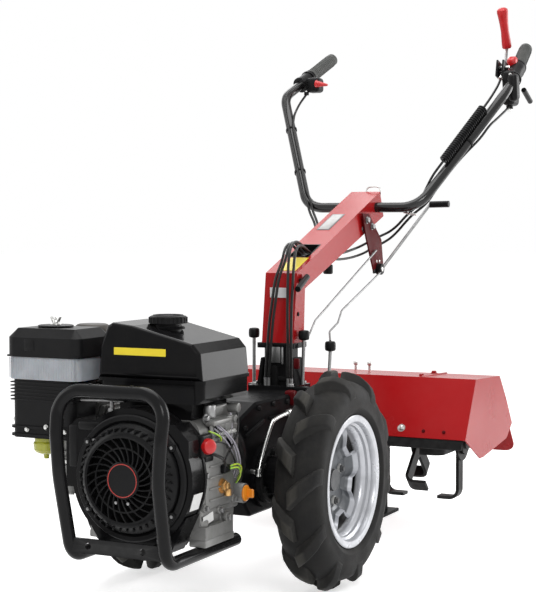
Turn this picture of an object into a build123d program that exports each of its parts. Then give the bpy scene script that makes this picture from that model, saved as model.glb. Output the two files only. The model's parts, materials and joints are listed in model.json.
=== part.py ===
from build123d import *
import math
import os

# Two-wheel walking tractor with a rotary tiller at the rear.  Millimetres, +Z up.
# Sizes are worked out from the wheel axle: X = 0 is the machine's centre plane with +X on the
# operator's left, Y = 0 is the axle with -Y towards the engine, and Z = 0 is the floor.
# Every piece is then moved by -MID_Y, so the origin is on the floor under the middle of the
# overall length, from the bumper's face to the ends of the handlebar grips.

os.makedirs("parts", exist_ok=True)

# ---------------------------------------------------------------- driving dimensions
BUMPER_FACE_Y = -560.0
GRIP_END_Y = 1171.0
MID_Y = (BUMPER_FACE_Y + GRIP_END_Y) / 2

WHEEL_R = 233.0               # 4.00-10 tractor tyre, over the lugs
WHEEL_X = 226.0               # half the track
RIM_R = 140.0                 # over the rim's flange
RIM_HALF_W = 47.0
DISC_X = -11.0                # the wheel disc, from the wheel's middle plane
STUD_PCD = 100.0

CRANK_Z = 288.0               # engine crankshaft height
ENGINE_REAR_Y = -190.0
ENGINE_FRONT_Y = -395.0
RECOIL_FACE_Y = -487.0

GEARBOX_HALF_W = 62.0
GEARBOX_TOP_Z = 394.0
GEARBOX_REAR_Y = 250.0

COLUMN_W = 80.0
COLUMN_FRONT_Y = 191.0
COLUMN_BACK_Y = 248.0
COLUMN_FOOT_Z = 504.0
BEAM_SLOPE = 21.3
BEAM_DEPTH = 68.0             # at the rear end; 50 at the column
WALL = 3.0                    # column and beam wall

BAR_R = 13.0                  # handlebar tube
HOOP_R = 13.0                 # bumper tube
HOOP_MIDDLE_X = 7.0           # the hoop is centred on the engine's feet, not on the column
PLATE_Y, PLATE_Z = -523.0, 165.0   # front face and middle height of the bumper's cross plate

HOOD_HALF_W = 350.0
HOOD_JOIN_X = 209.0
SHEET = 3.0                   # the hood's steel sheet
ROTOR_Y, ROTOR_Z = 662.0, 232.0
TINE_REACH = 146.0
PTO_Z = 318.0
FLAP_HINGE = (806.0, 332.0)   # Y, Z of the rear flap's hinge line
SKID_Y = 835.0
SKID_BAR = 25.0
CABLE_R = 3.2

SIDES = (("left", 1), ("right", -1))


# ---------------------------------------------------------------- helpers
def save(shape, node):
    """Write one node's STEP file, moved to the overall origin."""
    export_step(shape.moved(Location((0, -MID_Y, 0))), f"parts/{node}.step")


def box(x, y, z):
    """A box from (low, high) pairs along each axis."""
    middle = [(low + high) / 2 for low, high in (x, y, z)]
    size = [high - low for low, high in (x, y, z)]
    return Location(middle) * Box(*size)


def rod(start, end, radius):
    """A round bar between two points."""
    start, end = Vector(*start), Vector(*end)
    place = Plane(origin=start, z_dir=end - start)
    return place * Cylinder(radius, (end - start).length, align=(Align.CENTER, Align.CENTER, Align.MIN))


def bent_strand(name, points, radius):
    """A clipped cable with its largest even bends; prints the smallest bend and a volume check."""
    spots = [Vector(*point) for point in points]
    radii = []
    for before, here, after in zip(spots, spots[1:], spots[2:]):
        half_turn = math.radians((here - before).get_angle(after - here)) / 2
        run = min((here - before).length, (after - here).length)
        radii.append(0.45 * run / math.tan(half_turn))
    solid = pipe(points, radii, radius)
    length = FilletPolyline(*points, radius=radii).length
    print(f"{name}: smallest bend {min(radii):.0f} mm, length {length:.0f} mm, "
          f"volume over section times length {solid.volume / (math.pi * radius ** 2 * length):.3f}")
    return solid


def prism_yz(points, x0, x1):
    """A side outline of (Y, Z) points, pulled along X from x0 to x1."""
    face = Face(Wire.make_polygon([(x0, y, z) for y, z in points]))
    return Solid.extrude(face, Vector(x1 - x0, 0, 0))


def prism_xz(points, y0, y1):
    """A front outline of (X, Z) points, pulled along Y from y0 to y1."""
    face = Face(Wire.make_polygon([(x, y0, z) for x, z in points]))
    return Solid.extrude(face, Vector(0, y1 - y0, 0))


def pipe(points, radii, radius, bore=0.0):
    """A tube along straight runs joined by tangent arcs, one bend radius for each inner point."""
    path = FilletPolyline(*points, radius=radii)
    start = Plane(origin=path @ 0, z_dir=path % 0)
    solid = sweep(start * Circle(radius), path=path)
    if bore:
        solid -= sweep(start * Circle(bore), path=path)
    return solid


def lathe_x(points, middle):
    """A profile of (x, radius) points turned about an X axis through middle."""
    face = Face(Wire.make_polygon([(x, r, 0) for x, r in points]))
    turned = Solid.revolve(face, 360, Axis.X)
    return Location(middle) * turned


def along(start, end, distance, offset=0.0):
    """A (Y, Z) point at a distance from start towards end, offset to the left of that way."""
    dy, dz = end[0] - start[0], end[1] - start[1]
    length = math.hypot(dy, dz)
    uy, uz = dy / length, dz / length
    return (start[0] + uy * distance - uz * offset, start[1] + uz * distance + uy * offset)


# ---------------------------------------------------------------- wheels
def tyre(side):
    """Hollow tyre: the outside is the envelope of the lugs, the beads sit on the rim."""
    outer = [(44, 127.5), (44, 141), (49, 150), (53, 178), (52, 196), (45, 216), (30, 228), (14, WHEEL_R)]
    inner = [(37, 127.5), (37, 143), (41, 153), (43, 178), (42, 193), (35, 206), (24, 213)]
    right = outer + [(-x, r) for x, r in reversed(outer)]
    left = [(-x, r) for x, r in inner] + [(x, r) for x, r in reversed(inner)]
    return lathe_x(right + left, (side * WHEEL_X, 0, WHEEL_R))


def rim(side):
    """Pressed steel rim with a dropped centre and a deep disc with windows round its edge."""
    gauge = 3.0
    seat_r, well_r = 126.0, 113.0
    outline = [(RIM_HALF_W, RIM_R), (RIM_HALF_W - gauge, RIM_R), (RIM_HALF_W - gauge, seat_r + 1),
               (30, seat_r - 1), (23, well_r), (-23, well_r), (-30, seat_r - 1),
               (gauge - RIM_HALF_W, seat_r + 1), (gauge - RIM_HALF_W, RIM_R), (-RIM_HALF_W, RIM_R),
               (-RIM_HALF_W, seat_r - 2), (-31, seat_r - 1 - gauge), (-24, well_r - gauge),
               (24, well_r - gauge), (31, seat_r - 1 - gauge), (RIM_HALF_W, seat_r - 2)]
    barrel = lathe_x(outline, (0, 0, 0))
    disc = rod((DISC_X - 2, 0, 0), (DISC_X + 2, 0, 0), well_r - gauge + 0.5)
    disc -= rod((DISC_X - 5, 0, 0), (DISC_X + 5, 0, 0), 24)
    for angle in range(45, 405, 60):
        y, z = 112 * math.cos(math.radians(angle)), 112 * math.sin(math.radians(angle))
        disc -= rod((DISC_X - 5, y, z), (DISC_X + 5, y, z), 24)
    for angle in range(20, 380, 90):
        y, z = STUD_PCD / 2 * math.cos(math.radians(angle)), STUD_PCD / 2 * math.sin(math.radians(angle))
        disc -= rod((DISC_X - 5, y, z), (DISC_X + 5, y, z), 5.5)
    wheel = barrel + disc
    if side < 0:
        wheel = mirror(wheel, about=Plane.YZ)
    return Location((side * WHEEL_X, 0, WHEEL_R)) * wheel


def wheel_hub(side):
    """Cast hub with its bolting flange behind the disc and the axle shaft that drives it."""
    back = WHEEL_X + DISC_X - 2
    hub = rod((back - 12, 0, 0), (back, 0, 0), 66)
    hub += rod((146, 0, 0), (back - 11, 0, 0), 34)
    hub += rod((back - 1, 0, 0), (back + 16, 0, 0), 23.5)
    hub += rod((70, 0, 0), (147, 0, 0), 15)
    for angle in range(20, 380, 90):
        y, z = STUD_PCD / 2 * math.cos(math.radians(angle)), STUD_PCD / 2 * math.sin(math.radians(angle))
        hub += rod((back - 1, y, z), (back + 16, y, z), 5)
        hub += rod((back + 4.2, y, z), (back + 12, y, z), 8.5)
    if side < 0:
        hub = mirror(hub, about=Plane.YZ)
    return Location((0, 0, WHEEL_R)) * hub


# ---------------------------------------------------------------- transmission
def gearbox_housing():
    """Cast case: a round belly about the axle, a straight top and a square rear face."""
    outline = [(-120, 210), (-70, 152), (40, 152), (120, 196), (GEARBOX_REAR_Y, 216),
               (GEARBOX_REAR_Y, GEARBOX_TOP_Z), (-40, GEARBOX_TOP_Z), (-120, 366)]
    case = prism_yz(outline, -GEARBOX_HALF_W, GEARBOX_HALF_W)
    case = fillet(case.edges().filter_by(GeomType.LINE).filter_by(Axis.X), 14)
    case = chamfer(case.faces().filter_by(Axis.X).edges(), 5)
    case += rod((-GEARBOX_HALF_W - 8, 0, WHEEL_R), (GEARBOX_HALF_W + 8, 0, WHEEL_R), 70)
    case += rod((-GEARBOX_HALF_W - 6, 150, 300), (GEARBOX_HALF_W + 6, 150, 300), 46)
    case += rod((0, GEARBOX_REAR_Y - 2, PTO_Z), (0, GEARBOX_REAR_Y + 12, PTO_Z), 74)
    case -= rod((-90, 0, WHEEL_R), (90, 0, WHEEL_R), 16)
    return case


def bell_housing():
    """Cone between the engine's flange and the gearbox, over the clutch."""
    profile = [(ENGINE_REAR_Y, 104), (ENGINE_REAR_Y + 12, 104), (ENGINE_REAR_Y + 14, 92),
               (-124, 80), (-120, 80), (-120, 0), (ENGINE_REAR_Y, 0)]
    face = Face(Wire.make_polygon([(0, y, r) for y, r in profile]))
    return Location((0, 0, CRANK_Z)) * Solid.revolve(face, 360, Axis.Y)


def axle_housings():
    """The two axle tubes bolted to the case's sides, open for the shafts."""
    tubes = []
    for _, side in SIDES:
        x0, x1 = GEARBOX_HALF_W + 8, 140
        tube = rod((side * x0, 0, WHEEL_R), (side * (x0 + 10), 0, WHEEL_R), 60)
        tube += rod((side * (x0 + 9), 0, WHEEL_R), (side * x1, 0, WHEEL_R), 40)
        tube -= rod((side * (x0 - 1), 0, WHEEL_R), (side * (x1 + 1), 0, WHEEL_R), 16)
        tubes.append(tube)
    return Compound(tubes)


# ---------------------------------------------------------------- engine
def engine_block():
    """Crankcase on two feet, narrower at the rear, with the cylinder leaning out to the right."""
    case = box((-112, 118), (ENGINE_FRONT_Y, -255), (176, 398))
    case = fillet(case.edges().filter_by(Axis.Y), 26)
    rear = box((-100, 95), (-256, ENGINE_REAR_Y), (190, 392))
    case += fillet(rear.edges().filter_by(Axis.Y), 30)
    case += rod((0, ENGINE_REAR_Y - 20, CRANK_Z), (0, ENGINE_REAR_Y, CRANK_Z), 100)
    case += rod((90, -208, 230), (118, -208, 230), 17)
    for x0, x1 in ((-130, -96), (96, 130)):
        case += box((x0, x1), (ENGINE_FRONT_Y + 1, -280), (154, 192))
    cylinder = Box(190, 86, 122)
    cylinder = fillet(cylinder.edges().filter_by(Axis.Y), 12)
    cylinder += Location((-98, 0, 0)) * Box(30, 74, 96)
    case += Location((-140, -279, 336)) * Rotation(0, 25, 0) * cylinder
    return case


def blower_housing():
    """Fan shroud: round about the crankshaft, straight up the right side to the cylinder."""
    plate_front, plate_back = -452, ENGINE_FRONT_Y
    shroud = rod((0, plate_front, CRANK_Z), (0, plate_back, CRANK_Z), 134)
    corner = prism_xz([(-148, 262), (-148, 372), (-124, 396), (96, 396), (126, 366), (126, 262)],
                      plate_front, plate_back)
    foot = prism_xz([(-70, 150), (84, 150), (118, 220), (-118, 220)], plate_front + 6, plate_back)
    return shroud + corner + foot


def recoil_cover():
    """Round starter cover that tapers to a flat grille with a middle disc."""
    profile = [(-452, 0), (-452, 107), (-459, 106), (-479, 92), (-484, 85), (-484, 35.5),
               (RECOIL_FACE_Y, 35), (RECOIL_FACE_Y, 0)]
    face = Face(Wire.make_polygon([(0, y, r) for y, r in profile]))
    return Location((0, 0, CRANK_Z)) * Solid.revolve(face, 360, Axis.Y)


def fuel_tank():
    """Pressed tank in two halves with a flanged seam; its top slopes down to the left."""
    rear = -210
    lower = prism_xz([(-86, 431), (124, 431), (134, 441), (134, 470), (-96, 470), (-96, 441)], -418, rear - 2)
    upper = prism_xz([(-97, 476), (133, 476), (128, 528), (112, 546), (-20, 578), (-66, 583), (-77, 577),
                      (-94, 536)], -416, rear - 2)
    lower = fillet(lower.edges().filter_by(Axis.Z), 18)
    upper = fillet(upper.edges().group_by(Axis.Y)[0] + upper.edges().group_by(Axis.Y)[-1], 9)
    seam = box((-100, 137), (-421, rear + 1), (469.5, 476.5))
    seam = fillet(seam.edges().filter_by(Axis.Z), 18)
    mounts = box((-60, 100), (-395, -250), (398, 432))
    return lower + upper + seam + mounts


def fuel_cap():
    """Filler neck and screw cap, set in the tank's sloping top."""
    x, y = 12, -330
    cap = rod((x, y, 548), (x, y, 576), 27)
    cap += rod((x, y, 575), (x, y, 580), 22)
    top = rod((x, y, 579), (x, y, 594), 37)
    cap += fillet(top.edges().group_by(Axis.Z)[-1], 4)
    return cap - TANK


AIR_X, AIR_Y = (-308, -135), (-430, -300)


def air_cleaner_base():
    """Ribbed lower body with the elbow down to the carburettor."""
    base = box((AIR_X[0] + 8, AIR_X[1] - 17), (AIR_Y[0] + 8, AIR_Y[1] - 28), (346, 464))
    base = fillet(base.edges().filter_by(Axis.Z), 16)
    for z in (349, 365):
        rib = box((AIR_X[0] + 4, AIR_X[1] - 15), (AIR_Y[0] + 4, AIR_Y[1] - 26), (z, z + 5))
        base += fillet(rib.edges().filter_by(Axis.Z), 16)
    return base


def air_cleaner_element():
    """The milky band round the middle of the air cleaner."""
    band = box((AIR_X[0] + 3, AIR_X[1] - 3), (AIR_Y[0] + 3, AIR_Y[1] - 3), (464, 509))
    return fillet(band.edges().filter_by(Axis.Z), 18)


def air_cleaner_cover():
    """Chamfered cover held by one wing nut on a round washer."""
    cover = box(AIR_X, AIR_Y, (509, 566))
    cover = fillet(cover.edges().filter_by(Axis.Z), 20)
    cover = chamfer(cover.faces().sort_by(Axis.Z)[-1].edges(), 18)
    return cover + rod((-232, -362, 565), (-232, -362, 569), 33)


def dust_cup():
    """Small see-through cup under the air cleaner."""
    cup = rod((-236, -392, 314), (-236, -392, 346), 24)
    return fillet(cup.edges().group_by(Axis.Z)[0], 8)


def carburettor():
    """Carburettor between the cylinder head and the air cleaner."""
    body = box((-212, -160), (-404, -352), (272, 322))
    body += rod((-186, -378, 236), (-186, -378, 273), 22)
    body += rod((-186, -378, 321), (-186, -378, 346), 18)
    body += rod((-186, -353, 309), (-186, -322, 309), 12)
    return body


def muffler():
    """Muffler in its guard, behind the air cleaner, with a round dome on top."""
    body = box((-280, -150), (-285, -185), (440, 548))
    body = fillet(body.edges(), 14)
    dome = rod((-226, -235, 547), (-226, -235, 566), 38)
    body += fillet(dome.edges().group_by(Axis.Z)[-1], 12)
    body += rod((-200, -262, 400), (-200, -262, 442), 18)
    return body - ENGINE


def engine_switch():
    """Switch box on the engine's left side with its red button."""
    base = box((118, 136), (-406, -370), (330, 368)) - SHROUD - ENGINE
    return base + rod((135, -388, 350), (147, -388, 350), 11)


def oil_cap():
    """Oil filler plug with its wing-shaped grip, low at the engine's left rear corner."""
    plug = rod((118, -208, 230), (130, -208, 230), 14)
    return plug + box((129, 142), (-211, -205), (218, 242))


# ---------------------------------------------------------------- bumper
def bumper_frame():
    """Bent hoop in front of the engine, its rails under the engine's feet, and a cross plate
    with two holes for a front weight."""
    axis_y = BUMPER_FACE_Y + HOOP_R
    hoop = pipe([(0, axis_y + 13, 462), (-117, axis_y + 13, 462), (-114, axis_y, 380),
                 (-108, axis_y, 300), (-104, axis_y + 36, 140), (-104, -232, 140)],
                [50, 120, 160, 40], HOOP_R)
    plate = box((-100, 100), (PLATE_Y, PLATE_Y + 6), (PLATE_Z - 14, PLATE_Z + 14))
    for x in (-60, 60):
        plate -= rod((x, PLATE_Y - 5, PLATE_Z), (x, PLATE_Y + 10, PLATE_Z), 6.5)
    return Pos(HOOP_MIDDLE_X, 0, 0) * (hoop + mirror(hoop, about=Plane.YZ) + plate)


# ---------------------------------------------------------------- column and handlebar
ELBOW = (211.0, 663.0)        # Y, Z of the beam's front top edge
BEAM_LENGTH = 543.0
MITRE = (27.7, 50.0)          # the underside's front end: distance from the elbow and depth there


def beam_point(distance, below=0.0):
    """(Y, Z) on the beam's top line, or below it, square to the line."""
    angle = math.radians(BEAM_SLOPE)
    return (ELBOW[0] + distance * math.cos(angle) + below * math.sin(angle),
            ELBOW[1] + distance * math.sin(angle) - below * math.cos(angle))


def column_bracket():
    """Black casting between the gearbox's top and the column, with a waist and two flanges."""
    foot = box((-56, 56), (152, 250), (GEARBOX_TOP_Z, GEARBOX_TOP_Z + 14))
    foot += box((-82, -50), (203, 227), (GEARBOX_TOP_Z + 2, GEARBOX_TOP_Z + 12))
    neck = box((-34, 34), (182, 240), (GEARBOX_TOP_Z + 13, COLUMN_FOOT_Z - 11))
    neck = fillet(neck.edges().filter_by(Axis.Z), 14)
    top = box((-46, 46), (180, 250), (COLUMN_FOOT_Z - 12, COLUMN_FOOT_Z))
    return foot + neck + top


def column():
    """Box-section column that leans back a little, with a mitred top."""
    outline = [(COLUMN_FRONT_Y, COLUMN_FOOT_Z), (COLUMN_BACK_Y, COLUMN_FOOT_Z), beam_point(*MITRE), ELBOW]
    return prism_yz(outline, -COLUMN_W / 2, COLUMN_W / 2)


def handlebar_beam():
    """Box-section beam that deepens to the rear, with a slot on top and one underneath for the
    cables."""
    half = COLUMN_W / 2
    outline = [beam_point(0), beam_point(BEAM_LENGTH), beam_point(BEAM_LENGTH, BEAM_DEPTH), beam_point(*MITRE)]
    inside = [beam_point(2 * WALL, WALL), beam_point(BEAM_LENGTH + 5, WALL),
              beam_point(BEAM_LENGTH + 5, BEAM_DEPTH - WALL), beam_point(MITRE[0] + WALL, MITRE[1] - WALL)]
    beam = prism_yz(outline, -half, half)
    beam -= prism_yz(inside, WALL - half, half - WALL)
    slot = [beam_point(97, -5), beam_point(175, -5), beam_point(175, 6), beam_point(97, 6)]
    beam -= prism_yz(slot, -25, 25)
    under = [beam_point(180, 75), beam_point(285, 75), beam_point(285, 40), beam_point(180, 40)]
    beam -= prism_yz(under, WALL - half, half - WALL)
    return beam - rod((-60, BAR_Y, BAR_Z), (60, BAR_Y, BAR_Z), BAR_R + 0.05)


BAR_Y, BAR_Z = 690.0, 819.0
BAR_PATH = [(293, GRIP_END_Y - 15, 1256), (324, 907, 1130), (154, BAR_Y, BAR_Z)]


def handlebar():
    """One bent tube through the beam's end."""
    points = BAR_PATH + [(-x, y, z) for x, y, z in reversed(BAR_PATH)]
    return pipe(points, [85, 70, 70, 85], BAR_R, BAR_R - 2.5)


def grip_frame(distance):
    """A point on the left arm's upper run, at a distance from the tube's end."""
    tip, bend = Vector(*BAR_PATH[0]), Vector(*BAR_PATH[1])
    return tip + (bend - tip).normalized() * distance


def handlebar_grips():
    """Two rubber grips pushed over the tube's ends, each with a closed tip."""
    start, end = grip_frame(-8), grip_frame(128)
    grip = rod(start, end, 17.5) - rod(grip_frame(0), grip_frame(140), BAR_R)
    grip += rod(grip_frame(122), grip_frame(128), 20) - rod(grip_frame(0), grip_frame(140), BAR_R)
    return Compound([grip, mirror(grip, about=Plane.YZ)])


def left_housing():
    """Clamp on the left arm with the clutch lever's pivot, a switch box and a block below."""
    bar = rod(grip_frame(120), grip_frame(280), BAR_R + 0.05)
    block = rod(grip_frame(128.5), grip_frame(222), 20)
    block += box((298, 322), (938, 996), (1090, 1168))
    block += box((278, 306), (950, 986), (1168, 1206))
    block += box((288, 314), (1006, 1030), (1190, 1214))
    return block - bar


def clutch_lever():
    """Red handle of the clutch lever, standing above its pivot."""
    handle = rod((248, 1132, 1262), (246, 1090, 1366), 15)
    return fillet(handle.edges().filter_by(GeomType.CIRCLE).sort_by(Axis.Z)[-1], 7)


def right_housing():
    """Clamp on the right arm with the throttle box."""
    block = rod(grip_frame(134), grip_frame(190), 20)
    x, y, z = grip_frame(165)
    block += box((x - 56, x - 12), (y - 22, y + 22), (z - 34, z + 14))
    block -= rod(grip_frame(120), grip_frame(210), BAR_R + 0.05)
    return mirror(block, about=Plane.YZ)


def control_housings():
    """The two clamps that carry the hand controls."""
    return Compound([left_housing(), right_housing()])


PLATE_X = COLUMN_W / 2 + 6    # the plate stands off the beam on two spacers


def control_plate():
    """Plate on the beam's left side that carries the gear linkage, with its pivot at the foot."""
    plate = prism_yz([(577, 803), (618, 802), (703, 736), (716, 675), (710, 650), (656, 651), (637, 683),
                      (600, 747)], PLATE_X, PLATE_X + 4)
    for y, z in ((670, 681), (689, 681)):
        plate -= rod((PLATE_X - 1, y, z), (PLATE_X + 5, y, z), 3.2)
    spacers = rod((COLUMN_W / 2, 604, 786), (PLATE_X + 1, 604, 786), 9)
    spacers += rod((COLUMN_W / 2, 638, 770), (PLATE_X + 1, 638, 770), 9)
    return plate + spacers + rod((PLATE_X + 3, 679, 661), (PLATE_X + 12, 679, 661), 12)


def lever_rods():
    """Bright steel rods of the gear lever and of the clutch lever."""
    gear = rod((PLATE_X + 16, 687, 667), (153, 783, 827), 4)
    clutch = rod((288, 986, 1192), (248, 1131.5, 1261), 4) - left_housing() - clutch_lever()
    return Compound([gear - lever_grips(), clutch])


def lever_grips():
    """Black grips: gear lever, small lever on the left block, column clamp, and the clamp's knob
    under the beam."""
    half = COLUMN_W / 2
    gear = rod((153, 783, 827), (204, 784, 828), 8.5)
    small = rod((335, 1002, 1133), (335, 1064, 1107), 7) - left_housing()
    clamp = rod((half + 18, 176, 628), (half + 9, 246, 654), 7) + rod((half, 226, 645), (half + 8, 226, 645), 6)
    knob_y, knob_z = 508, 664
    knob = rod((-14, knob_y, knob_z - 12), (-14, knob_y, knob_z + 12), 12)
    knob = fillet(knob.edges().filter_by(GeomType.CIRCLE), 4)
    knob += rod((-14, knob_y, knob_z + 11), (-14, knob_y, beam_point(300, BEAM_DEPTH - 9)[1] - 5), 5)
    return Compound([gear, small, clamp, knob])


# ---------------------------------------------------------------- rods and knobs
def shift_rods():
    """Linkage rods from the control plate to the selectors, and the stems under the knobs."""
    half = COLUMN_W / 2
    front = pipe([(PLATE_X + 9, 655, 709), (half + 10, 291, 551), (half + 11, 255, 520), (53, 228, 518)],
                 [25, 14], 2.5)
    rear = pipe([(PLATE_X + 14, 680, 656), (62, 418, 568), (68, 382, 541), (82, 300, 525), (98, 268, 506)],
                [50, 30, 30], 2.5)
    stems = [rod((x, y, z - 7), foot, 4) for x, y, z, foot in SELECTORS]
    stems.append(rod((61, 243, 300), (108, 243, 300), 7))
    pieces = [front, rear, *stems[:2], stems[2] + stems[3]]
    return Compound([piece - KNOBS - PLATE - GEARBOX - BRACKET for piece in pieces])


# x, y, z of each knob, and the foot of its stem
SELECTORS = (
    (-72.0, 215.0, 520.0, (-72.0, 215.0, 405.0)),
    (55.5, 215.0, 518.0, (52.0, 215.0, 407.0)),
    (100.0, 264.0, 491.0, (100.0, 243.0, 300.0)),
)


def selector_knobs():
    """Black knobs on the selector stems beside and behind the column."""
    knobs = []
    for x, y, z, _ in SELECTORS:
        knob = rod((x, y, z - 8), (x, y, z + 14), 12)
        knobs.append(fillet(knob.edges().filter_by(GeomType.CIRCLE), 3))
    return Compound(knobs)


# ---------------------------------------------------------------- cables
# Each strand runs from a housing down its arm, under the bar, up through the beam and out of the
# slot, over the elbow and down the column's front face to an adjuster.
CLUTCH_STRANDS = (
    ((288.1, 956, 1166.2), (289, 925, 1141), (287.5, 856, 1097.5), (202, 738.4, 933.6), (177.8, 733, 901),
     (159.4, 728.5, 862.5), (142, 724, 824), (114, 716, 799.5), (88, 720, 773), (63, 726, 756),
     (40, 712, 744), (28, 684, 734), (27, 620, 720), (26, 560, 711), (26, 500, 704), (15, 452, 702),
     (12, 402, 706), (10, 352, 705), (11, 314, 720), (15, 278, 732), (21, 240, 736), (27, 204, 723),
     (33, 180, 693), (36, 170, 640), (36, 167, 575), (38, 166.5, 505), (39, 166, 426)),
    ((309.2, 960, 1087), (301, 902, 1058), (289.5, 850, 1031), (273, 829.5, 998), (229, 804, 947),
     (188, 749, 874), (166, 722, 828), (130, 717, 801), (108, 718, 779), (86, 724, 757), (63, 728, 738),
     (40, 715, 723), (28, 686, 713), (27, 640, 702), (26, 580, 694), (27, 520, 690), (25, 465, 689),
     (20, 402, 700), (19, 352, 700), (20, 314, 713), (24, 280, 723), (30, 243, 727), (36, 212, 716),
     (42, 190, 688), (45, 178, 645), (45, 170, 580), (46, 166.5, 505), (47, 166, 426)),
)
THROTTLE_STRANDS = (
    ((-300, 974.5, 1176), (-313, 896, 1141), (-303, 862, 1096), (-190.6, 720.8, 892.1), (-176, 702, 865),
     (-150, 680, 834), (-139, 670, 808), (-116, 650, 781), (-84, 598, 748), (-56, 545, 712), (-40, 500, 690),
     (-22, 455, 693), (-14, 404, 705), (-14, 352, 702), (-10, 314, 715), (-4, 280, 727), (3, 243, 731),
     (9, 210, 718), (11, 192, 690), (0, 178, 650), (-3, 171, 605), (-9, 168, 557), (-13, 166.5, 507),
     (-18, 166, 426)),
    ((-296, 992, 1144.8), (-290, 930, 1112), (-274, 862, 1076), (-262.4, 829.9, 1043.8),
     (-180.6, 725.5, 894.2), (-166, 706, 868), (-140, 680, 837), (-130, 670, 811), (-106, 646, 782),
     (-75, 594, 748), (-47, 545, 714), (-31, 500, 692), (-13, 455, 696), (-5, 404, 708), (-5, 352, 705),
     (-1, 314, 718), (5, 280, 730), (12, 243, 734), (18, 210, 721), (20, 192, 693), (9, 178, 652),
     (6, 171, 607), (0, 168, 559), (-4, 166.5, 509), (-10, 166, 426)),
)


def control_cables():
    """Two clutch cables on the left arm and two throttle cables on the right arm."""
    strands = []
    for name, routes in (("clutch cable", CLUTCH_STRANDS), ("throttle cable", THROTTLE_STRANDS)):
        for points in routes:
            strands.append(bent_strand(name, points, CABLE_R))
    return Compound(strands)


def cable_sleeve():
    """Corrugated sleeve round the clutch cable on the left arm's lower run."""
    start, end = Vector(*CLUTCH_STRANDS[0][2]), Vector(*CLUTCH_STRANDS[0][3])
    way = (end - start).normalized()
    sleeve = rod(start + way * 30, end - way * 6, 10.5)
    return sleeve - rod(start, end, CABLE_R + 1.2)


def cable_adjusters():
    """Four threaded barrels on the bracket's foot, one for each cable."""
    barrels = []
    for points in CLUTCH_STRANDS + THROTTLE_STRANDS:
        x, y, z = points[-1]
        barrels.append(rod((x, y, GEARBOX_TOP_Z + 14), (x, y, z - 0.5), 3.7))
    return Compound(barrels)


# ---------------------------------------------------------------- tiller
HOOD_FRONT_LOW = (494.0, 261.0)
HOOD_FRONT_TOP = (571.0, 400.0)
HOOD_REAR_TOP = (761.0, 392.0)
SLOPE_LENGTH = 60.0
NECK_END_Y = 545.0


def hood_underside(y):
    """Height of the hood's flat top on its under side."""
    fall = (HOOD_FRONT_TOP[1] - HOOD_REAR_TOP[1]) / (HOOD_REAR_TOP[0] - HOOD_FRONT_TOP[0] - 4)
    return HOOD_FRONT_TOP[1] - SHEET - fall * (y - HOOD_FRONT_TOP[0] - 2)


def hood_sheet(x0, x1):
    """The folded sheet: front plate, top and rear slope, between two stations along X."""
    outer = [HOOD_FRONT_LOW, HOOD_FRONT_TOP, HOOD_REAR_TOP, along(HOOD_REAR_TOP, FLAP_HINGE, SLOPE_LENGTH)]
    inner = [along(HOOD_REAR_TOP, FLAP_HINGE, SLOPE_LENGTH, -SHEET),
             (HOOD_REAR_TOP[0] - 2, HOOD_REAR_TOP[1] - SHEET),
             (HOOD_FRONT_TOP[0] + 2, HOOD_FRONT_TOP[1] - SHEET),
             along(HOOD_FRONT_LOW, HOOD_FRONT_TOP, 0, -SHEET)]
    return prism_yz(outer + inner, x0, x1)


def hood_centre():
    """Middle section of the hood, with a mouth in its front plate for the neck."""
    sheet = hood_sheet(-HOOD_JOIN_X, HOOD_JOIN_X)
    return sheet - box((-58, 58), (480, 566), (240, 366))


def hood_extension(side):
    """Bolt-on side section with its end plate and the joint's flange."""
    x0, x1 = side * HOOD_JOIN_X, side * HOOD_HALF_W
    sheet = hood_sheet(x0, x1)
    end = [HOOD_FRONT_TOP, HOOD_REAR_TOP, (817, 330), (870, 260), (822, 226), (634, 203), (606, 203),
           HOOD_FRONT_LOW]
    plate = prism_yz(end, x1 - side * SHEET, x1)
    return sheet + plate - rod((x0, *FLAP_HINGE), (x1 * 1.01, *FLAP_HINGE), 4.4)


def hood_bar():
    """Black stiffening bar behind the front plate's lower edge."""
    front, back = -SHEET - 0.02, -SHEET - 4
    corners = [along(HOOD_FRONT_LOW, HOOD_FRONT_TOP, distance, offset)
               for distance, offset in ((14, front), (-24, front), (-24, back), (14, back))]
    half = HOOD_HALF_W - 8
    return prism_yz(corners, -half, half) - box((-60, 60), (470, 560), (262, 300))


def tiller_neck():
    """Coupling tube from the gearbox's rear face to the tiller's case."""
    flange_y = GEARBOX_REAR_Y + 12
    neck = rod((0, flange_y, PTO_Z), (0, flange_y + 14, PTO_Z), 74)
    neck += rod((0, flange_y + 13, PTO_Z), (0, NECK_END_Y, PTO_Z), 42)
    neck += rod((0, NECK_END_Y - 14, PTO_Z), (0, NECK_END_Y, PTO_Z), 52)
    return neck


def tiller_case():
    """Slim drive case from the neck down to the rotor."""
    outline = [(NECK_END_Y, 262), (NECK_END_Y, 362), (585, 374), (660, 374), (712, 310), (728, 240),
               (706, 184), (662, 166), (618, 184), (590, 246)]
    case = prism_yz(outline, -27, 27)
    case += rod((-36, ROTOR_Y, ROTOR_Z), (36, ROTOR_Y, ROTOR_Z), 48)
    lug = [(610, 366), (735, 366), (735, hood_underside(735)), (610, hood_underside(610))]
    case += prism_yz(lug, -22, 22)
    return case - rod((-40, ROTOR_Y, ROTOR_Z), (40, ROTOR_Y, ROTOR_Z), 17)


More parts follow.
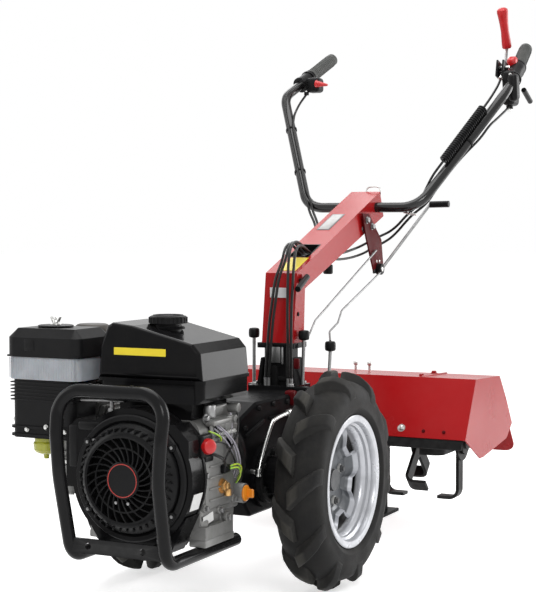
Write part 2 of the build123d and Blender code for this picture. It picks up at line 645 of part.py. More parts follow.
def rear_flap():
    """Hinged rear flap, rounded at its free corners and notched for the skid's bar."""
    hinge_y, hinge_z = FLAP_HINGE
    tip = (930.0, 178.0)
    length = math.hypot(tip[0] - hinge_y, tip[1] - hinge_z)
    half = HOOD_HALF_W - 8
    plate = prism_yz([along(FLAP_HINGE, tip, 4, 1.5), along(FLAP_HINGE, tip, length, 1.5),
                      along(FLAP_HINGE, tip, length, -1.5), along(FLAP_HINGE, tip, 4, -1.5)], -half, half)
    corners = [edge for edge in plate.edges().filter_by(lambda edge: edge.length < 3.1)
               if edge.center().Z < tip[1] + 5]
    plate = fillet(corners, 30)
    plate += rod((-half, hinge_y, hinge_z), (half, hinge_y, hinge_z), 6)
    plate += rod((-HOOD_HALF_W + 0.5, hinge_y, hinge_z), (HOOD_HALF_W - 0.5, hinge_y, hinge_z), 4)
    return plate - box((-30, 30), (780, 880), (262, 360))


def rotor_shaft():
    """Round shaft through the tiller's case."""
    return rod((-300, ROTOR_Y, ROTOR_Z), (300, ROTOR_Y, ROTOR_Z), 16)


def tine(angle, foot):
    """One L-shaped blade on a flange at x = 0, bent on a radius; foot is +1 or -1 along X."""
    thick, half_w, bend = 8.0, 16.0, 26.0
    x0, sole_z = 3.0, 2 - TINE_REACH
    outline = [(x0, -30), (x0, sole_z), (60, sole_z), (60, sole_z + thick), (x0 + thick, sole_z + thick),
               (x0 + thick, -30)]
    blade = prism_xz(outline, -half_w, half_w)
    bends = blade.edges().filter_by(Axis.Y).sort_by(lambda edge: edge.center().X + edge.center().Z)
    blade = fillet(bends[0], bend)
    inner = blade.edges().filter_by(Axis.Y).sort_by(
        lambda edge: abs(edge.center().X - x0 - thick) + abs(edge.center().Z - sole_z - thick))
    blade = fillet(inner[0], bend - thick)
    if foot < 0:
        blade = mirror(blade, about=Plane.YZ)
    return Rotation(angle, 0, 0) * blade


# x station, first blade's angle, feet as each flange's blades go round
TINE_SETS = (
    ("inner", 75.0, 0.0, (1, 1, 1, 1)),
    ("middle", 168.0, 45.0, (-1, 1, -1, 1)),
    ("outer", 285.0, 0.0, (-1, -1, -1, -1)),
)


def tines():
    """Six bladed flanges along the shaft, mirrored left and right."""
    sets = []
    for _, station, first, feet in TINE_SETS:
        for _, side in SIDES:
            hub = rod((-10, 0, 0), (10, 0, 0), 30) + rod((-3, 0, 0), (3, 0, 0), 46)
            for index, foot in enumerate(feet):
                hub += tine(first + 90 * index, foot * side)
            hub -= rod((-20, 0, 0), (20, 0, 0), 16)
            sets.append(Location((side * station, ROTOR_Y, ROTOR_Z)) * hub)
    return Compound(sets)


def skid_clamp():
    """Square sleeve for the depth skid, on a bracket at the hood's rear slope."""
    half = SKID_BAR / 2 + 0.5
    sleeve = box((-20, 20), (SKID_Y - 20, SKID_Y + 20), (322, 364))
    slope_top, slope_low = along(HOOD_REAR_TOP, FLAP_HINGE, 24), along(HOOD_REAR_TOP, FLAP_HINGE, SLOPE_LENGTH)
    face_y = SKID_Y - 19
    sleeve += prism_yz([slope_top, (face_y, 362), (face_y, 338), slope_low], -12, 12)
    return sleeve - box((-half, half), (SKID_Y - half, SKID_Y + half), (300, 420))


def depth_skid():
    """Square bar with the curved shoe that the machine rests on at the rear."""
    half = SKID_BAR / 2
    bar = box((-half, half), (SKID_Y - half, SKID_Y + half), (6, 370))
    shoe = box((-30, 30), (SKID_Y - 60, SKID_Y + 50), (0, 8))
    return bar + shoe


# ---------------------------------------------------------------- write the nodes
TANK = fuel_tank()
ENGINE = engine_block()
SHROUD = blower_housing()
GEARBOX = gearbox_housing()
BRACKET = column_bracket()
PLATE = control_plate()
KNOBS = selector_knobs()

for name, sign in SIDES:
    save(tyre(sign), f"{name}_tyre")
    save(rim(sign), f"{name}_rim")
    save(wheel_hub(sign), f"{name}_hub")
    save(hood_extension(sign), f"hood_{name}_extension")

NODES = {
    "gearbox_housing": lambda: GEARBOX, "bell_housing": bell_housing, "axle_housings": axle_housings,
    "engine_block": lambda: ENGINE, "blower_housing": lambda: SHROUD, "recoil_cover": recoil_cover,
    "fuel_tank": lambda: TANK, "fuel_cap": fuel_cap,
    "air_cleaner_base": air_cleaner_base, "air_cleaner_element": air_cleaner_element,
    "air_cleaner_cover": air_cleaner_cover, "dust_cup": dust_cup,
    "carburettor": carburettor, "muffler": muffler, "engine_switch": engine_switch, "oil_cap": oil_cap,
    "bumper_frame": bumper_frame, "column_bracket": lambda: BRACKET, "column": column,
    "handlebar_beam": handlebar_beam, "handlebar": handlebar, "handlebar_grips": handlebar_grips,
    "control_housings": control_housings, "clutch_lever": clutch_lever, "control_plate": lambda: PLATE,
    "lever_rods": lever_rods, "lever_grips": lever_grips, "shift_rods": shift_rods,
    "selector_knobs": lambda: KNOBS, "control_cables": control_cables, "cable_sleeve": cable_sleeve,
    "cable_adjusters": cable_adjusters,
    "hood_centre": hood_centre, "hood_bar": hood_bar, "tiller_neck": tiller_neck,
    "tiller_case": tiller_case, "rear_flap": rear_flap, "rotor_shaft": rotor_shaft, "tines": tines,
    "skid_clamp": skid_clamp, "depth_skid": depth_skid,
}
for name, make in NODES.items():
    save(make(), name)
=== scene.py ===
import json
import math

import bmesh
import bpy
from mathutils import Matrix, Vector


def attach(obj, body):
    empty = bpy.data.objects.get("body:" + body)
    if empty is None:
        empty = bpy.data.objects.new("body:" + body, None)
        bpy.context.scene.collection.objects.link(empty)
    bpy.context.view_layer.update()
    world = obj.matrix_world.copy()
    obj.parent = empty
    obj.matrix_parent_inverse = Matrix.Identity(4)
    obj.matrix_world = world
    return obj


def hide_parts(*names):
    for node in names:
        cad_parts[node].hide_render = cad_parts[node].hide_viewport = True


# Looks of a two-wheel walking tractor with its rotary tiller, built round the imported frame.
# Working sizes are millimetres from the middle of the wheel axle's line on the floor: +X is the
# operator's left, -Y points to the engine and +Z is up.  FROM_AXLE turns them into the frame.

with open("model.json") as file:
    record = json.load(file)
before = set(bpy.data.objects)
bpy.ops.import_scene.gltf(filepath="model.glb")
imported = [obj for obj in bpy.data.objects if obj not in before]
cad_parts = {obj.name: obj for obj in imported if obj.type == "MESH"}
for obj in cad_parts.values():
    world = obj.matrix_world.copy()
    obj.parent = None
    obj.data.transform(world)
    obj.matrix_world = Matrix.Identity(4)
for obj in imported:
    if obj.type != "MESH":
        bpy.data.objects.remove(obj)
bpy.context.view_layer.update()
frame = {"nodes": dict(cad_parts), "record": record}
nodes = frame["nodes"]
joints = {joint["name"]: joint for joint in frame["record"]["behaviour"]["joints"]}
AXLE_Y = joints["left_wheel_spin"]["pos_m"][1]
FROM_AXLE = Matrix.Translation((0, AXLE_Y, 0)) @ Matrix.Scale(0.001, 4)


# ---------------- studio
# The machine stands on a pale studio floor under soft boxes: one over the right shoulder of the
# viewer, one behind that gives the flanks their sheen, one behind and above for the tops, one
# overhead and one weak one at the left.
def in_scene(name, data):
    """A new object of some data, put in the scene."""
    thing = bpy.data.objects.new(name, data)
    bpy.context.scene.collection.objects.link(thing)
    return thing


camera = in_scene("camera", bpy.data.cameras.new("camera"))
camera.data.lens = 91.216
camera.location = FROM_AXLE @ Vector((1493.5, -2897.6, 768.2))
camera.rotation_euler = (math.radians(87.375), 0, math.radians(26.17))
bpy.context.scene.camera = camera
bpy.context.scene.view_settings.view_transform = "Standard"

SOFT_BOXES = (
    # name, place in metres from the axle's line, width, watts
    ("key_box", (1.9, -2.6, 2.3), 1.1, 44.0),
    ("flank_box", (2.3, 2.9, 1.3), 2.0, 64.0),
    ("top_box", (-0.1, 0.2, 3.1), 2.2, 52.0),
    ("rear_box", (-1.7, 3.3, 3.2), 2.0, 30.0),
    ("fill_box", (-2.6, -1.2, 1.5), 1.6, 16.0),
)
AIMED_AT = Vector((0, AXLE_Y, 0.4))
for name, place, width, watts in SOFT_BOXES:
    box = in_scene(name, bpy.data.lights.new(name, "AREA"))
    box.data.size = width
    box.data.energy = watts
    box.location = Vector(place) + Vector((0, AXLE_Y, 0))
    box.rotation_euler = (AIMED_AT - box.location).to_track_quat("-Z", "Y").to_euler()
    box.visible_camera = False


def shader(tree, kind, *inputs, out=0, **settings):
    """One output of a new shader node.  Its inputs, given in their order or by their labels, are
    plain values or the sockets that feed them."""
    node = tree.nodes.new("ShaderNode" + kind)
    for name in ("data_type", "node_tree", "operation"):
        if name in settings:
            setattr(node, name, settings.pop(name))
    for place, value in [*enumerate(inputs), *settings.items()]:
        socket = node.inputs[place.replace("_", " ") if isinstance(place, str) else place]
        if isinstance(value, bpy.types.NodeSocket):
            tree.links.new(value, socket)
        else:
            socket.default_value = value
    return node.outputs[out]


def seen_directly(tree):
    """1 where a ray is the viewer's or is a reflection, 0 for the light that falls on things."""
    path = tree.nodes.new("ShaderNodeLightPath").outputs
    glossy = shader(tree, "Math", path["Is Camera Ray"], path["Is Glossy Ray"], operation="MAXIMUM")
    return shader(tree, "Math", glossy, path["Is Transmission Ray"], operation="MAXIMUM")


AIR_LIGHT, AIR_SEEN = 0.5, 1.0         # the air's strength as light and as what is seen
FLOOR_LIFT = 0.58                      # glow of the floor, only where it is seen
world = bpy.data.worlds.new("studio_air")
world.use_nodes = True
bpy.context.scene.world = world
tree = world.node_tree
sky = tree.nodes["Background"]
sky.inputs["Color"].default_value = (1, 1, 1, 1)
level = shader(tree, "MapRange", seen_directly(tree), To_Min=AIR_LIGHT, To_Max=AIR_SEEN)
tree.links.new(level, sky.inputs["Strength"])

floor = in_scene("floor", bpy.data.meshes.new("floor"))
bm = bmesh.new()
bmesh.ops.create_circle(bm, cap_ends=True, segments=96, radius=40.0)
bm.to_mesh(floor.data)
bm.free()
paper = bpy.data.materials.new("studio_floor")
paper.use_nodes = True
tree = paper.node_tree
matt = tree.nodes["Principled BSDF"].inputs
matt["Base Color"].default_value = (0.84, 0.84, 0.84, 1)
matt["Roughness"].default_value = 0.9
matt["Emission Color"].default_value = (1, 1, 1, 1)
lift = shader(tree, "Math", seen_directly(tree), FLOOR_LIFT, operation="MULTIPLY")
tree.links.new(lift, matt["Emission Strength"])
floor.data.materials.append(paper)


# ---------------- tyres
# 4.00-10 tractor tyres: a rubber carcass with ten slanting lugs a side, set half a pitch apart.
# The lugs run over the shoulder and taper, as they come from the mould.  They replace the plain
# envelopes of the frame.
def facing(point, direction):
    """A place at a point, turned so that its own Z runs along a direction."""
    return Matrix.Translation(point) @ Vector(direction).to_track_quat("Z", "Y").to_matrix().to_4x4()


def add_to(bm, shape, place=Matrix.Identity(4)):
    """Set a finished shape in its place and add it to a piece's bmesh."""
    bmesh.ops.recalc_face_normals(shape, faces=shape.faces)
    shape.transform(place)
    carrier = bpy.data.meshes.new("carrier")
    shape.to_mesh(carrier)
    shape.free()
    bm.from_mesh(carrier)
    bpy.data.meshes.remove(carrier)


def softened(shape, edges, width, segments):
    """Round some of a shape's edges over."""
    bmesh.ops.bevel(shape, geom=edges, offset=width, offset_type="OFFSET", segments=segments,
                    profile=0.5, affect="EDGES", material=-1)


def turned(bm, outline, place, steps, closed=False):
    """An outline of (radius, height) points turned about the Z axis of a place."""
    shape = bmesh.new()
    points = [shape.verts.new((radius, 0, height)) for radius, height in outline]
    edges = [shape.edges.new(pair) for pair in zip(points, points[1:])]
    if closed:
        edges.append(shape.edges.new((points[-1], points[0])))
    bmesh.ops.spin(shape, geom=points + edges, cent=(0, 0, 0), axis=(0, 0, 1), angle=math.tau,
                   steps=steps, use_merge=True)
    bmesh.ops.remove_doubles(shape, verts=shape.verts, dist=0.001)
    add_to(bm, shape, place)


def collar(bm, radii, heights, place, steps):
    """A plain ring between two radii and two heights along the Z axis of a place."""
    inner, outer = radii
    low, high = heights
    turned(bm, [(inner, low), (outer, low), (outer, high), (inner, high)], place, steps, True)


def ride_on(piece, body, replaces=()):
    """Tell the frame which body a piece rides on and the nodes it stands in for."""
    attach(piece, body)
    if replaces:
        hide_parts(*replaces)


def finish_piece(name, bm, finish, body="machine", replaces=(), smooth=35.0):
    """Close a bmesh into a piece that rides on a body, smooth but for its sharp edges."""
    bmesh.ops.recalc_face_normals(bm, faces=bm.faces)
    bm.transform(FROM_AXLE)
    mesh = bpy.data.meshes.new(name)
    bm.to_mesh(mesh)
    bm.free()
    mesh.materials.append(finish)
    mesh.shade_smooth()
    mesh.set_sharp_from_angle(angle=math.radians(smooth))
    ride_on(in_scene(name, mesh), body, replaces)


def group_of(name, inputs, fill):
    """A shader group with named inputs; fill puts its nodes in and says what it puts out."""
    tree = bpy.data.node_groups.new(name, "ShaderNodeTree")
    for label, value in inputs.items():
        kind = "NodeSocketColor" if isinstance(value, tuple) else "NodeSocketFloat"
        tree.interface.new_socket(label, in_out="INPUT", socket_type=kind).default_value = value
    tree.interface.new_socket("Vector", in_out="INPUT", socket_type="NodeSocketVector")
    given = tree.nodes.new("NodeGroupInput").outputs
    made = fill(tree, given, given["Vector"])
    for label in made:
        kind = "NodeSocketColor" if label == "Color" else "NodeSocketFloat"
        tree.interface.new_socket(label, in_out="OUTPUT", socket_type=kind)
    result = tree.nodes.new("NodeGroupOutput").inputs
    for label, socket in made.items():
        tree.links.new(socket, result[label])
    return tree


def blotched(tree, given, where):
    """Two shades of one colour in soft blotches, with the blotch value for the gloss."""
    noise = shader(tree, "TexNoise", where, Scale=given["Scale"], Detail=5.0, Roughness=0.62)
    spread = shader(tree, "MapRange", noise, From_Min=0.3, From_Max=0.7)
    return {"Color": mixed(tree, spread, given["Shade"], given["Other Shade"]), "Value": spread}


def grained(tree, given, where):
    """Height of a cast, moulded or sprayed skin: a coarse swell under a fine grain."""
    fine = shader(tree, "TexNoise", where, Scale=given["Scale"], Detail=3.0)
    eighth = shader(tree, "Math", given["Scale"], 8.0, operation="DIVIDE")
    coarse = shader(tree, "TexNoise", where, Scale=eighth, Detail=1.0)
    return {"Height": shader(tree, "Math", coarse, given["Swell"], fine, operation="MULTIPLY_ADD")}


def rubbed(tree, given, where):
    """A mask for rubbed corners: where the surface turns outwards, broken up by noise."""
    noise = shader(tree, "TexNoise", where, Scale=60.0, Detail=4.0)
    corner = shader(tree, "NewGeometry", out="Pointiness")
    edge = shader(tree, "MapRange", corner, From_Min=given["Reach"], From_Max=0.62)
    return {"Mask": shader(tree, "Math", edge, noise, operation="MULTIPLY")}


def dusted(tree, given, where):
    """A mask for dust: thick on faces that look up, thin and patchy elsewhere."""
    height = shader(tree, "SeparateXYZ", shader(tree, "NewGeometry", out="Normal"), out="Z")
    upward = shader(tree, "MapRange", height, From_Min=-0.6, To_Min=0.25)
    noise = shader(tree, "TexNoise", where, Scale=14.0, Detail=8.0, Roughness=0.7)
    patch = shader(tree, "MapRange", noise, From_Min=0.38, From_Max=0.72)
    both = shader(tree, "Math", upward, patch, operation="MULTIPLY")
    return {"Mask": shader(tree, "Math", both, given["Amount"], operation="MULTIPLY")}


def mixed(tree, factor, first, second):
    """A colour mixed over another by a mask; second may be a colour or a socket."""
    over = (*second, 1) if isinstance(second, tuple) else second
    return shader(tree, "Mix", data_type="RGBA", Factor=factor, A=first, B=over, out="Result")


MID_GREY = (0.5, 0.5, 0.5, 1)
BLOTCHES = group_of("soft_blotches", {"Scale": 8.0, "Shade": MID_GREY, "Other Shade": MID_GREY}, blotched)
GRAIN = group_of("skin_grain", {"Scale": 300.0, "Swell": 0.3}, grained)
RUBBED = group_of("rubbed_corners", {"Reach": 0.53}, rubbed)
DUST = group_of("settled_dust", {"Amount": 0.2}, dusted)
DARK_DUST = (0.12, 0.11, 0.1)


def finish_of(name, shade, other, scale, rough, relief, slot=None, metal=0.0, grain=300.0, swell=0.3,
              worn=None, dust=0.0, dust_shade=(0.3, 0.27, 0.23), specular=0.5, **fixed):
    """A finish: two shades in blotches of a scale, a range of roughness, a skin of grain in relief,
    worn corners and dust.  Its slot argument is not used."""
    material = bpy.data.materials.new(name)
    material.use_nodes = True
    tree = material.node_tree
    surface = tree.nodes["Principled BSDF"].inputs
    where = shader(tree, "TexCoord", out="Object")

    def grouped(group, out, **values):
        return shader(tree, "Group", node_tree=group, Vector=where, out=out, **values)

    colour = grouped(BLOTCHES, "Color", Scale=scale, Shade=(*shade, 1), Other_Shade=(*other, 1))
    gloss = shader(tree, "MapRange", colour.node.outputs["Value"], To_Min=rough[0], To_Max=rough[1])
    if worn:
        colour = mixed(tree, grouped(RUBBED, "Mask"), colour, worn)
    if dust:
        colour = mixed(tree, grouped(DUST, "Mask", Amount=dust), colour, dust_shade)
    skin = grouped(GRAIN, "Height", Scale=grain, Swell=swell)
    bump = shader(tree, "Bump", Strength=relief, Distance=0.001, Height=skin)
    for label, socket in (("Base Color", colour), ("Roughness", gloss), ("Normal", bump)):
        tree.links.new(socket, surface[label])
    for label, value in {"Metallic": metal, "Specular IOR Level": specular, **fixed}.items():
        surface[label.replace("_", " ")].default_value = value
    return material


def overlaid(finish, shade, strength, mask, *reach):
    """Mix another shade over a finish by a mask, which takes the tree and its reach."""
    tree = finish.node_tree
    base = tree.nodes["Principled BSDF"].inputs["Base Color"]
    under = base.links[0].from_socket
    weaker = shader(tree, "Math", mask(tree, *reach), strength, operation="MULTIPLY")
    tree.links.new(mixed(tree, weaker, under, shade), base)


def radius_mask(tree, low, high):
    """0 to 1 between two distances in metres from the wheels' axle line."""
    where = shader(tree, "TexCoord", out="Object")
    centred = shader(tree, "VectorMath", where, (0, AXLE_Y, AXLE_Z / 1000), operation="SUBTRACT")
    across = shader(tree, "VectorMath", centred, (0, 1, 1), operation="MULTIPLY")
    length = shader(tree, "VectorMath", across, operation="LENGTH", out="Value")
    return shader(tree, "MapRange", length, From_Min=low, From_Max=high)


AXLE_Z = 233.0
TYRE_RUBBER = finish_of("tyre_rubber", (0.0075, 0.0075, 0.008), (0.014, 0.0137, 0.0135), 18, (0.55, 0.78),
                        0.3, grain=420, worn=(0.05, 0.049, 0.046), dust=0.22,
                        dust_shade=(0.1, 0.094, 0.082), specular=0.12)
overlaid(TYRE_RUBBER, (0.06, 0.057, 0.05), 0.6, radius_mask, 0.229, 0.2322)     # lighter and brownish on the lugs' tops

TRACK_X = 226.0
CARCASS = ((129, 30), (129, 38), (131.5, 41), (137, 42), (141, 42.6), (143, 45.2), (147, 48), (151, 51.3),
           (154.5, 52.2), (157, 51.2), (172, 52.2), (184, 50.5), (195, 46.5), (204, 38), (210, 24), (213, 8))
LUG_FOOT = ((-3, 208), (10, 207), (24, 203), (36, 196), (45, 184), (49, 170))
LUG_TOP = ((-4, 232.6), (12, 232.6), (28, 227.5), (43.5, 215.5), (51.6, 197), (52.6, 180))
LUG_WIDTH = (52, 31)                   # at its foot and at its top
LUG_SWEEP = 13.5                       # degrees from its middle end to its shoulder end
LUG_COUNT = 10
LUG_PITCH = 360 / LUG_COUNT
SIDES = (("left", 1), ("right", -1))


def station(table, share):
    """A point at a share of the way along a table of points."""
    place = share * (len(table) - 1)
    index = min(int(place), len(table) - 2)
    low, high = Vector(table[index]), Vector(table[index + 1])
    return low.lerp(high, place - index)


def lug(bm, angle, side):
    """One lug, warped from a subdivided cube: X is its length, Y its width and Z its height."""
    shape = bmesh.new()
    bmesh.ops.create_cube(shape, size=1.0)
    lengthwise = [edge for edge in shape.edges if abs(edge.verts[0].co.x - edge.verts[1].co.x) > 0.5]
    bmesh.ops.subdivide_edges(shape, edges=lengthwise, cuts=7)
    rims = []
    for edge in shape.edges:
        one, two = (v.co for v in edge.verts)
        if min(one.z, two.z) > 0.4 and (one.y * two.y > 0.2 or one.x * two.x > 0.24):
            rims.append(edge)
    softened(shape, rims, 0.13, 3)
    for v in shape.verts:
        share = min(max(v.co.x + 0.5, 0.0), 1.0)
        point = station(LUG_FOOT, share).lerp(station(LUG_TOP, share), v.co.z + 0.5)
        width = (LUG_WIDTH[0] - (LUG_WIDTH[0] - LUG_WIDTH[1]) * (v.co.z + 0.5)) * (1.0 - 0.15 * share)
        turn = math.radians(angle + LUG_SWEEP * min(share * 1.25, 1.0)) + v.co.y * width / point.y
        v.co = (side * point.x, -point.y * math.cos(turn), point.y * math.sin(turn))
    add_to(bm, shape)


def on_axle(x, side):
    """A place on the axle's line at a distance from the middle plane, facing outwards."""
    return facing((side * x, 0, AXLE_Z), (side, 0, 0))


def mirrored(outline):
    """An outline and then its image across the middle plane, back to the start."""
    return [*outline, *((radius, -height) for radius, height in reversed(outline))]


for wheel, side in SIDES:
    bm = bmesh.new()
    turned(bm, mirrored(CARCASS), facing((0, 0, 0), (1, 0, 0)), 120, closed=True)
    for index in range(LUG_COUNT):
        lug(bm, LUG_PITCH * index - 2, side)
        lug(bm, LUG_PITCH * (index - 0.5) - 2, -side)
    bmesh.ops.translate(bm, verts=bm.verts, vec=(side * TRACK_X, 0, AXLE_Z))
    finish_piece(f"{wheel}_tyre_carcass", bm, TYRE_RUBBER, body=f"{wheel}_wheel",
                 replaces=[f"{wheel}_tyre"], smooth=38)


# ---------------- wheels
# Pressed and welded steel rims in silver paint.  The disc is a darker grey with windows round its
# edge, held to the cast hub by four studs with zinc nuts on washers.
def rod(bm, start, end, radius, segments, soften=0.0, end_radius=None):
    """A round bar between two points, with its two rims softened if asked."""
    start, end = Vector(start), Vector(end)
    shape = bmesh.new()
    bmesh.ops.create_cone(shape, cap_ends=True, segments=segments, radius1=radius,
                          radius2=radius if end_radius is None else end_radius, depth=(end - start).length)
    if soften:
        rims = [edge for edge in shape.edges if abs(edge.verts[0].co.z - edge.verts[1].co.z) < 0.001]
        softened(shape, rims, soften, 2)
    add_to(bm, shape, facing((start + end) / 2, end - start))


def block(bm, low, high, soften, segments=2, turn=Matrix.Identity(4)):
    """A box between two corners, softened along its edges; turn leans it about its own middle."""
    low, high = Vector(low), Vector(high)
    shape = bmesh.new()
    bmesh.ops.create_cube(shape, size=1.0, matrix=Matrix.Diagonal((*(high - low), 1)))
    softened(shape, shape.edges, soften, segments)
    add_to(bm, shape, Matrix.Translation((low + high) / 2) @ turn)


WASHER_THICK = 1.4


def hex_bolt(bm, point, direction, across, height, washer=0.0):
    """A hexagon head or nut standing on a face, with a washer of that radius under it."""
    point, direction = Vector(point), Vector(direction).normalized()
    if washer:
        rod(bm, point - direction, point + direction * WASHER_THICK, washer, 20)
    rod(bm, point - direction, point + direction * (height + WASHER_THICK), across * 0.577, 6, across * 0.05)


def bolts(bm, points, direction, *sizes):
    """Like bolts at several points."""
    for point in points:
        hex_bolt(bm, point, direction, *sizes)


def ring(count, radius, start=0.0):
    """Pairs of distances from the middle of a circle to points spaced evenly round it."""
    angles = [math.radians(start + 360 / count * index) for index in range(count)]
    return [(radius * math.cos(angle), radius * math.sin(angle)) for angle in angles]


def inner_side_mask(tree, low, high):
    """0 to 1 between two distances in metres from the machine's middle plane."""
    across = shader(tree, "SeparateXYZ", shader(tree, "TexCoord", out="Object"), out="X")
    distance = shader(tree, "Math", across, operation="ABSOLUTE")
    return shader(tree, "MapRange", distance, From_Min=low, From_Max=high)


RIM_SILVER = finish_of("rim_silver", (0.56, 0.57, 0.6), (0.43, 0.44, 0.465), 26, (0.24, 0.42), 0.08,
                       metal=0.45, grain=700, dust=0.15, dust_shade=(0.2, 0.19, 0.17), specular=0.25)
DISC_GREY = finish_of("disc_grey", (0.1, 0.108, 0.118), (0.078, 0.084, 0.092), 20, (0.3, 0.45), 0.1,
                      slot="rim_silver", metal=0.3, grain=600, dust=0.2, dust_shade=(0.14, 0.13, 0.12))
# Painted shade: the rim is painted near-black on its inner half, behind the disc, for the shade in its well.
# The disc is lighter silver where its edge turns out towards the rim.
overlaid(RIM_SILVER, (0.004, 0.004, 0.0045), 1.0, inner_side_mask, 0.231, 0.2265)
overlaid(DISC_GREY, (0.46, 0.47, 0.5), 0.9, inner_side_mask, 0.2262, 0.2285)
HUB_CASTING = finish_of("hub_casting", (0.08, 0.083, 0.088), (0.055, 0.057, 0.06), 30, (0.5, 0.65), 0.3,
                        metal=0.3, grain=500, dust=0.2)
BRIGHT_STEEL = finish_of("bright_steel", (0.62, 0.62, 0.6), (0.5, 0.5, 0.49), 60, (0.22, 0.36), 0.05,
                         metal=1.0, grain=900)
DULL_STEEL = finish_of("dull_steel", (0.3, 0.3, 0.3), (0.2, 0.2, 0.2), 60, (0.35, 0.5), 0.12,
                       slot="bright_steel", metal=0.9, grain=700)
ZINC = finish_of("zinc", (0.52, 0.52, 0.5), (0.42, 0.42, 0.41), 60, (0.3, 0.45), 0.1, slot="bright_steel",
                 metal=0.2, grain=700)


def dress(finish, *names):
    """Give frame nodes their finish."""
    for name in names:
        slots = nodes[name].data.materials
        slots.clear()
        slots.append(finish)


RIM_SEAT = ((138, 47), (140, 45.6), (139.5, 43.6), (136.5, 43.4), (130, 42.4), (127.6, 40), (127, 30),
            (125.6, 26), (121, 21), (115.5, 18), (114, 12))
RIM_INSIDE = ((133, -46.5), (126.5, -45), (124.5, -42), (123.8, -33), (118.5, -29), (117.6, -23), (112, -18),
              (110.6, -13))
DISC_THICK, DISC_X = 3.5, 212.5
DISC_BORE, DISC_REACH, WINDOW_DEPTH, WINDOWS = 24.0, 111.5, 32.0, 6
DISC_RINGS = ((0.3, 0), (0.66, 0), (0.7, 2.5), (0.76, 4), (0.84, 6), (0.89, 10), (0.94, 16), (1.0, 21))
STUD_CIRCLE_R = 50.0
dress(HUB_CASTING, "left_hub", "right_hub")


def wheel_disc(bm, side):
    """Pressed disc: rings of a circle, its edge scalloped between six feet welded in the rim."""
    shape = bmesh.new()
    bmesh.ops.create_circle(shape, segments=144, radius=DISC_BORE)
    edges = list(shape.edges)
    for share, lift in DISC_RINGS:
        made = bmesh.ops.extrude_edge_only(shape, edges=edges)["geom"]
        edges = [part for part in made if isinstance(part, bmesh.types.BMEdge)]
        for v in (part for part in made if isinstance(part, bmesh.types.BMVert)):
            angle = math.atan2(v.co.y, v.co.x)
            wave = 0.5 - 0.5 * math.cos(WINDOWS * (angle - math.radians(15)))
            reach = DISC_REACH - WINDOW_DEPTH * min(wave * 1.3, 1.0) ** 3
            radius = DISC_BORE + (reach - DISC_BORE) * share
            v.co = (radius * math.cos(angle), radius * math.sin(angle), lift)
    bmesh.ops.recalc_face_normals(shape, faces=shape.faces)
    bmesh.ops.solidify(shape, geom=shape.faces, thickness=DISC_THICK)
    add_to(bm, shape, on_axle(DISC_X, side))


for wheel, side in SIDES:
    bm = bmesh.new()
    turned(bm, mirrored(RIM_SEAT) + mirrored(RIM_INSIDE), on_axle(TRACK_X, side), 120, True)
    finish_piece(f"{wheel}_rim_wall", bm, RIM_SILVER, body=f"{wheel}_wheel", replaces=[f"{wheel}_rim"])
    bm = bmesh.new()
    wheel_disc(bm, side)
    finish_piece(f"{wheel}_rim_disc", bm, DISC_GREY, body=f"{wheel}_wheel", smooth=30)
    bm = bmesh.new()
    for y, z in ring(4, STUD_CIRCLE_R, 20):
        hex_bolt(bm, (side * DISC_X, y, AXLE_Z + z), (side, 0, 0), 18, 7.4, 11)
        rod(bm, (side * DISC_X, y, AXLE_Z + z), (side * (DISC_X + 12.6), y, AXLE_Z + z), 5.3, 12, 1)
    finish_piece(f"{wheel}_wheel_nuts", bm, ZINC, body=f"{wheel}_wheel")
    bm = bmesh.new()
    rod(bm, (side * 231, -92, AXLE_Z + 61), (side * 246, -84, AXLE_Z + 55), 4, 12, 1)
    rod(bm, (side * 246, -84, AXLE_Z + 55), (side * 254, -80, AXLE_Z + 52), 3.2, 12, 0.8)
    finish_piece(f"{wheel}_tyre_valve", bm, TYRE_RUBBER, body=f"{wheel}_wheel")


# ---------------- transmission
# The cast gearbox, bell housing and axle tubes are painted black, and so are the hexagon bolts that
# hold their flanges.  A ribbed cover closes each side.
BLACK_CASTING = finish_of("black_casting", (0.0035, 0.0035, 0.004), (0.007, 0.007, 0.0075), 18, (0.26, 0.4),
                          0.25, grain=420, worn=(0.03, 0.03, 0.03), dust=0.02, dust_shade=DARK_DUST,
                          specular=0.015)
dress(BLACK_CASTING, "gearbox_housing", "bell_housing", "axle_housings")


def leaned(axis, degrees):
    """A turn about one of a block's own axes."""
    return Matrix.Rotation(math.radians(degrees), 4, axis)


SIDE_COVER = (150, 300)                # middle of the ribbed covers, as Y and Z
CASE_SEAM = ((-96, 345), (-30, 380), (40, 382), (110, 380), (228, 382), (232, 250), (232, 300))
CRANK_Z = 288
NECK_Y, NECK_Z = 276, 318              # middle of the flange that carries the tiller's neck
REARWARD, FORWARD, UPWARD, DOWNWARD, LEFTWARD = (0, 1, 0), (0, -1, 0), (0, 0, 1), (0, 0, -1), (1, 0, 0)
bm = bmesh.new()
for side in (1, -1):
    for y, z, length, lean in ((-52, 340, 90, 16), (80, 352, 120, 0), (196, 320, 86, -10)):
        block(bm, (side * 62 - 5, y - length / 2, z - 4), (side * 62 + 5, y + length / 2, z + 4), 1.5,
              turn=leaned("X", lean))
    collar(bm, (52, 60), (0, 5.5), on_axle(78, side), 48)
    place = facing((side * 65, *SIDE_COVER), (side, 0, 0))
    turned(bm, [(0, 0), (44, 0), (44, 4), (40, 7), (0, 7)], place, 40)
finish_piece("gearbox_ribs", bm, BLACK_CASTING)

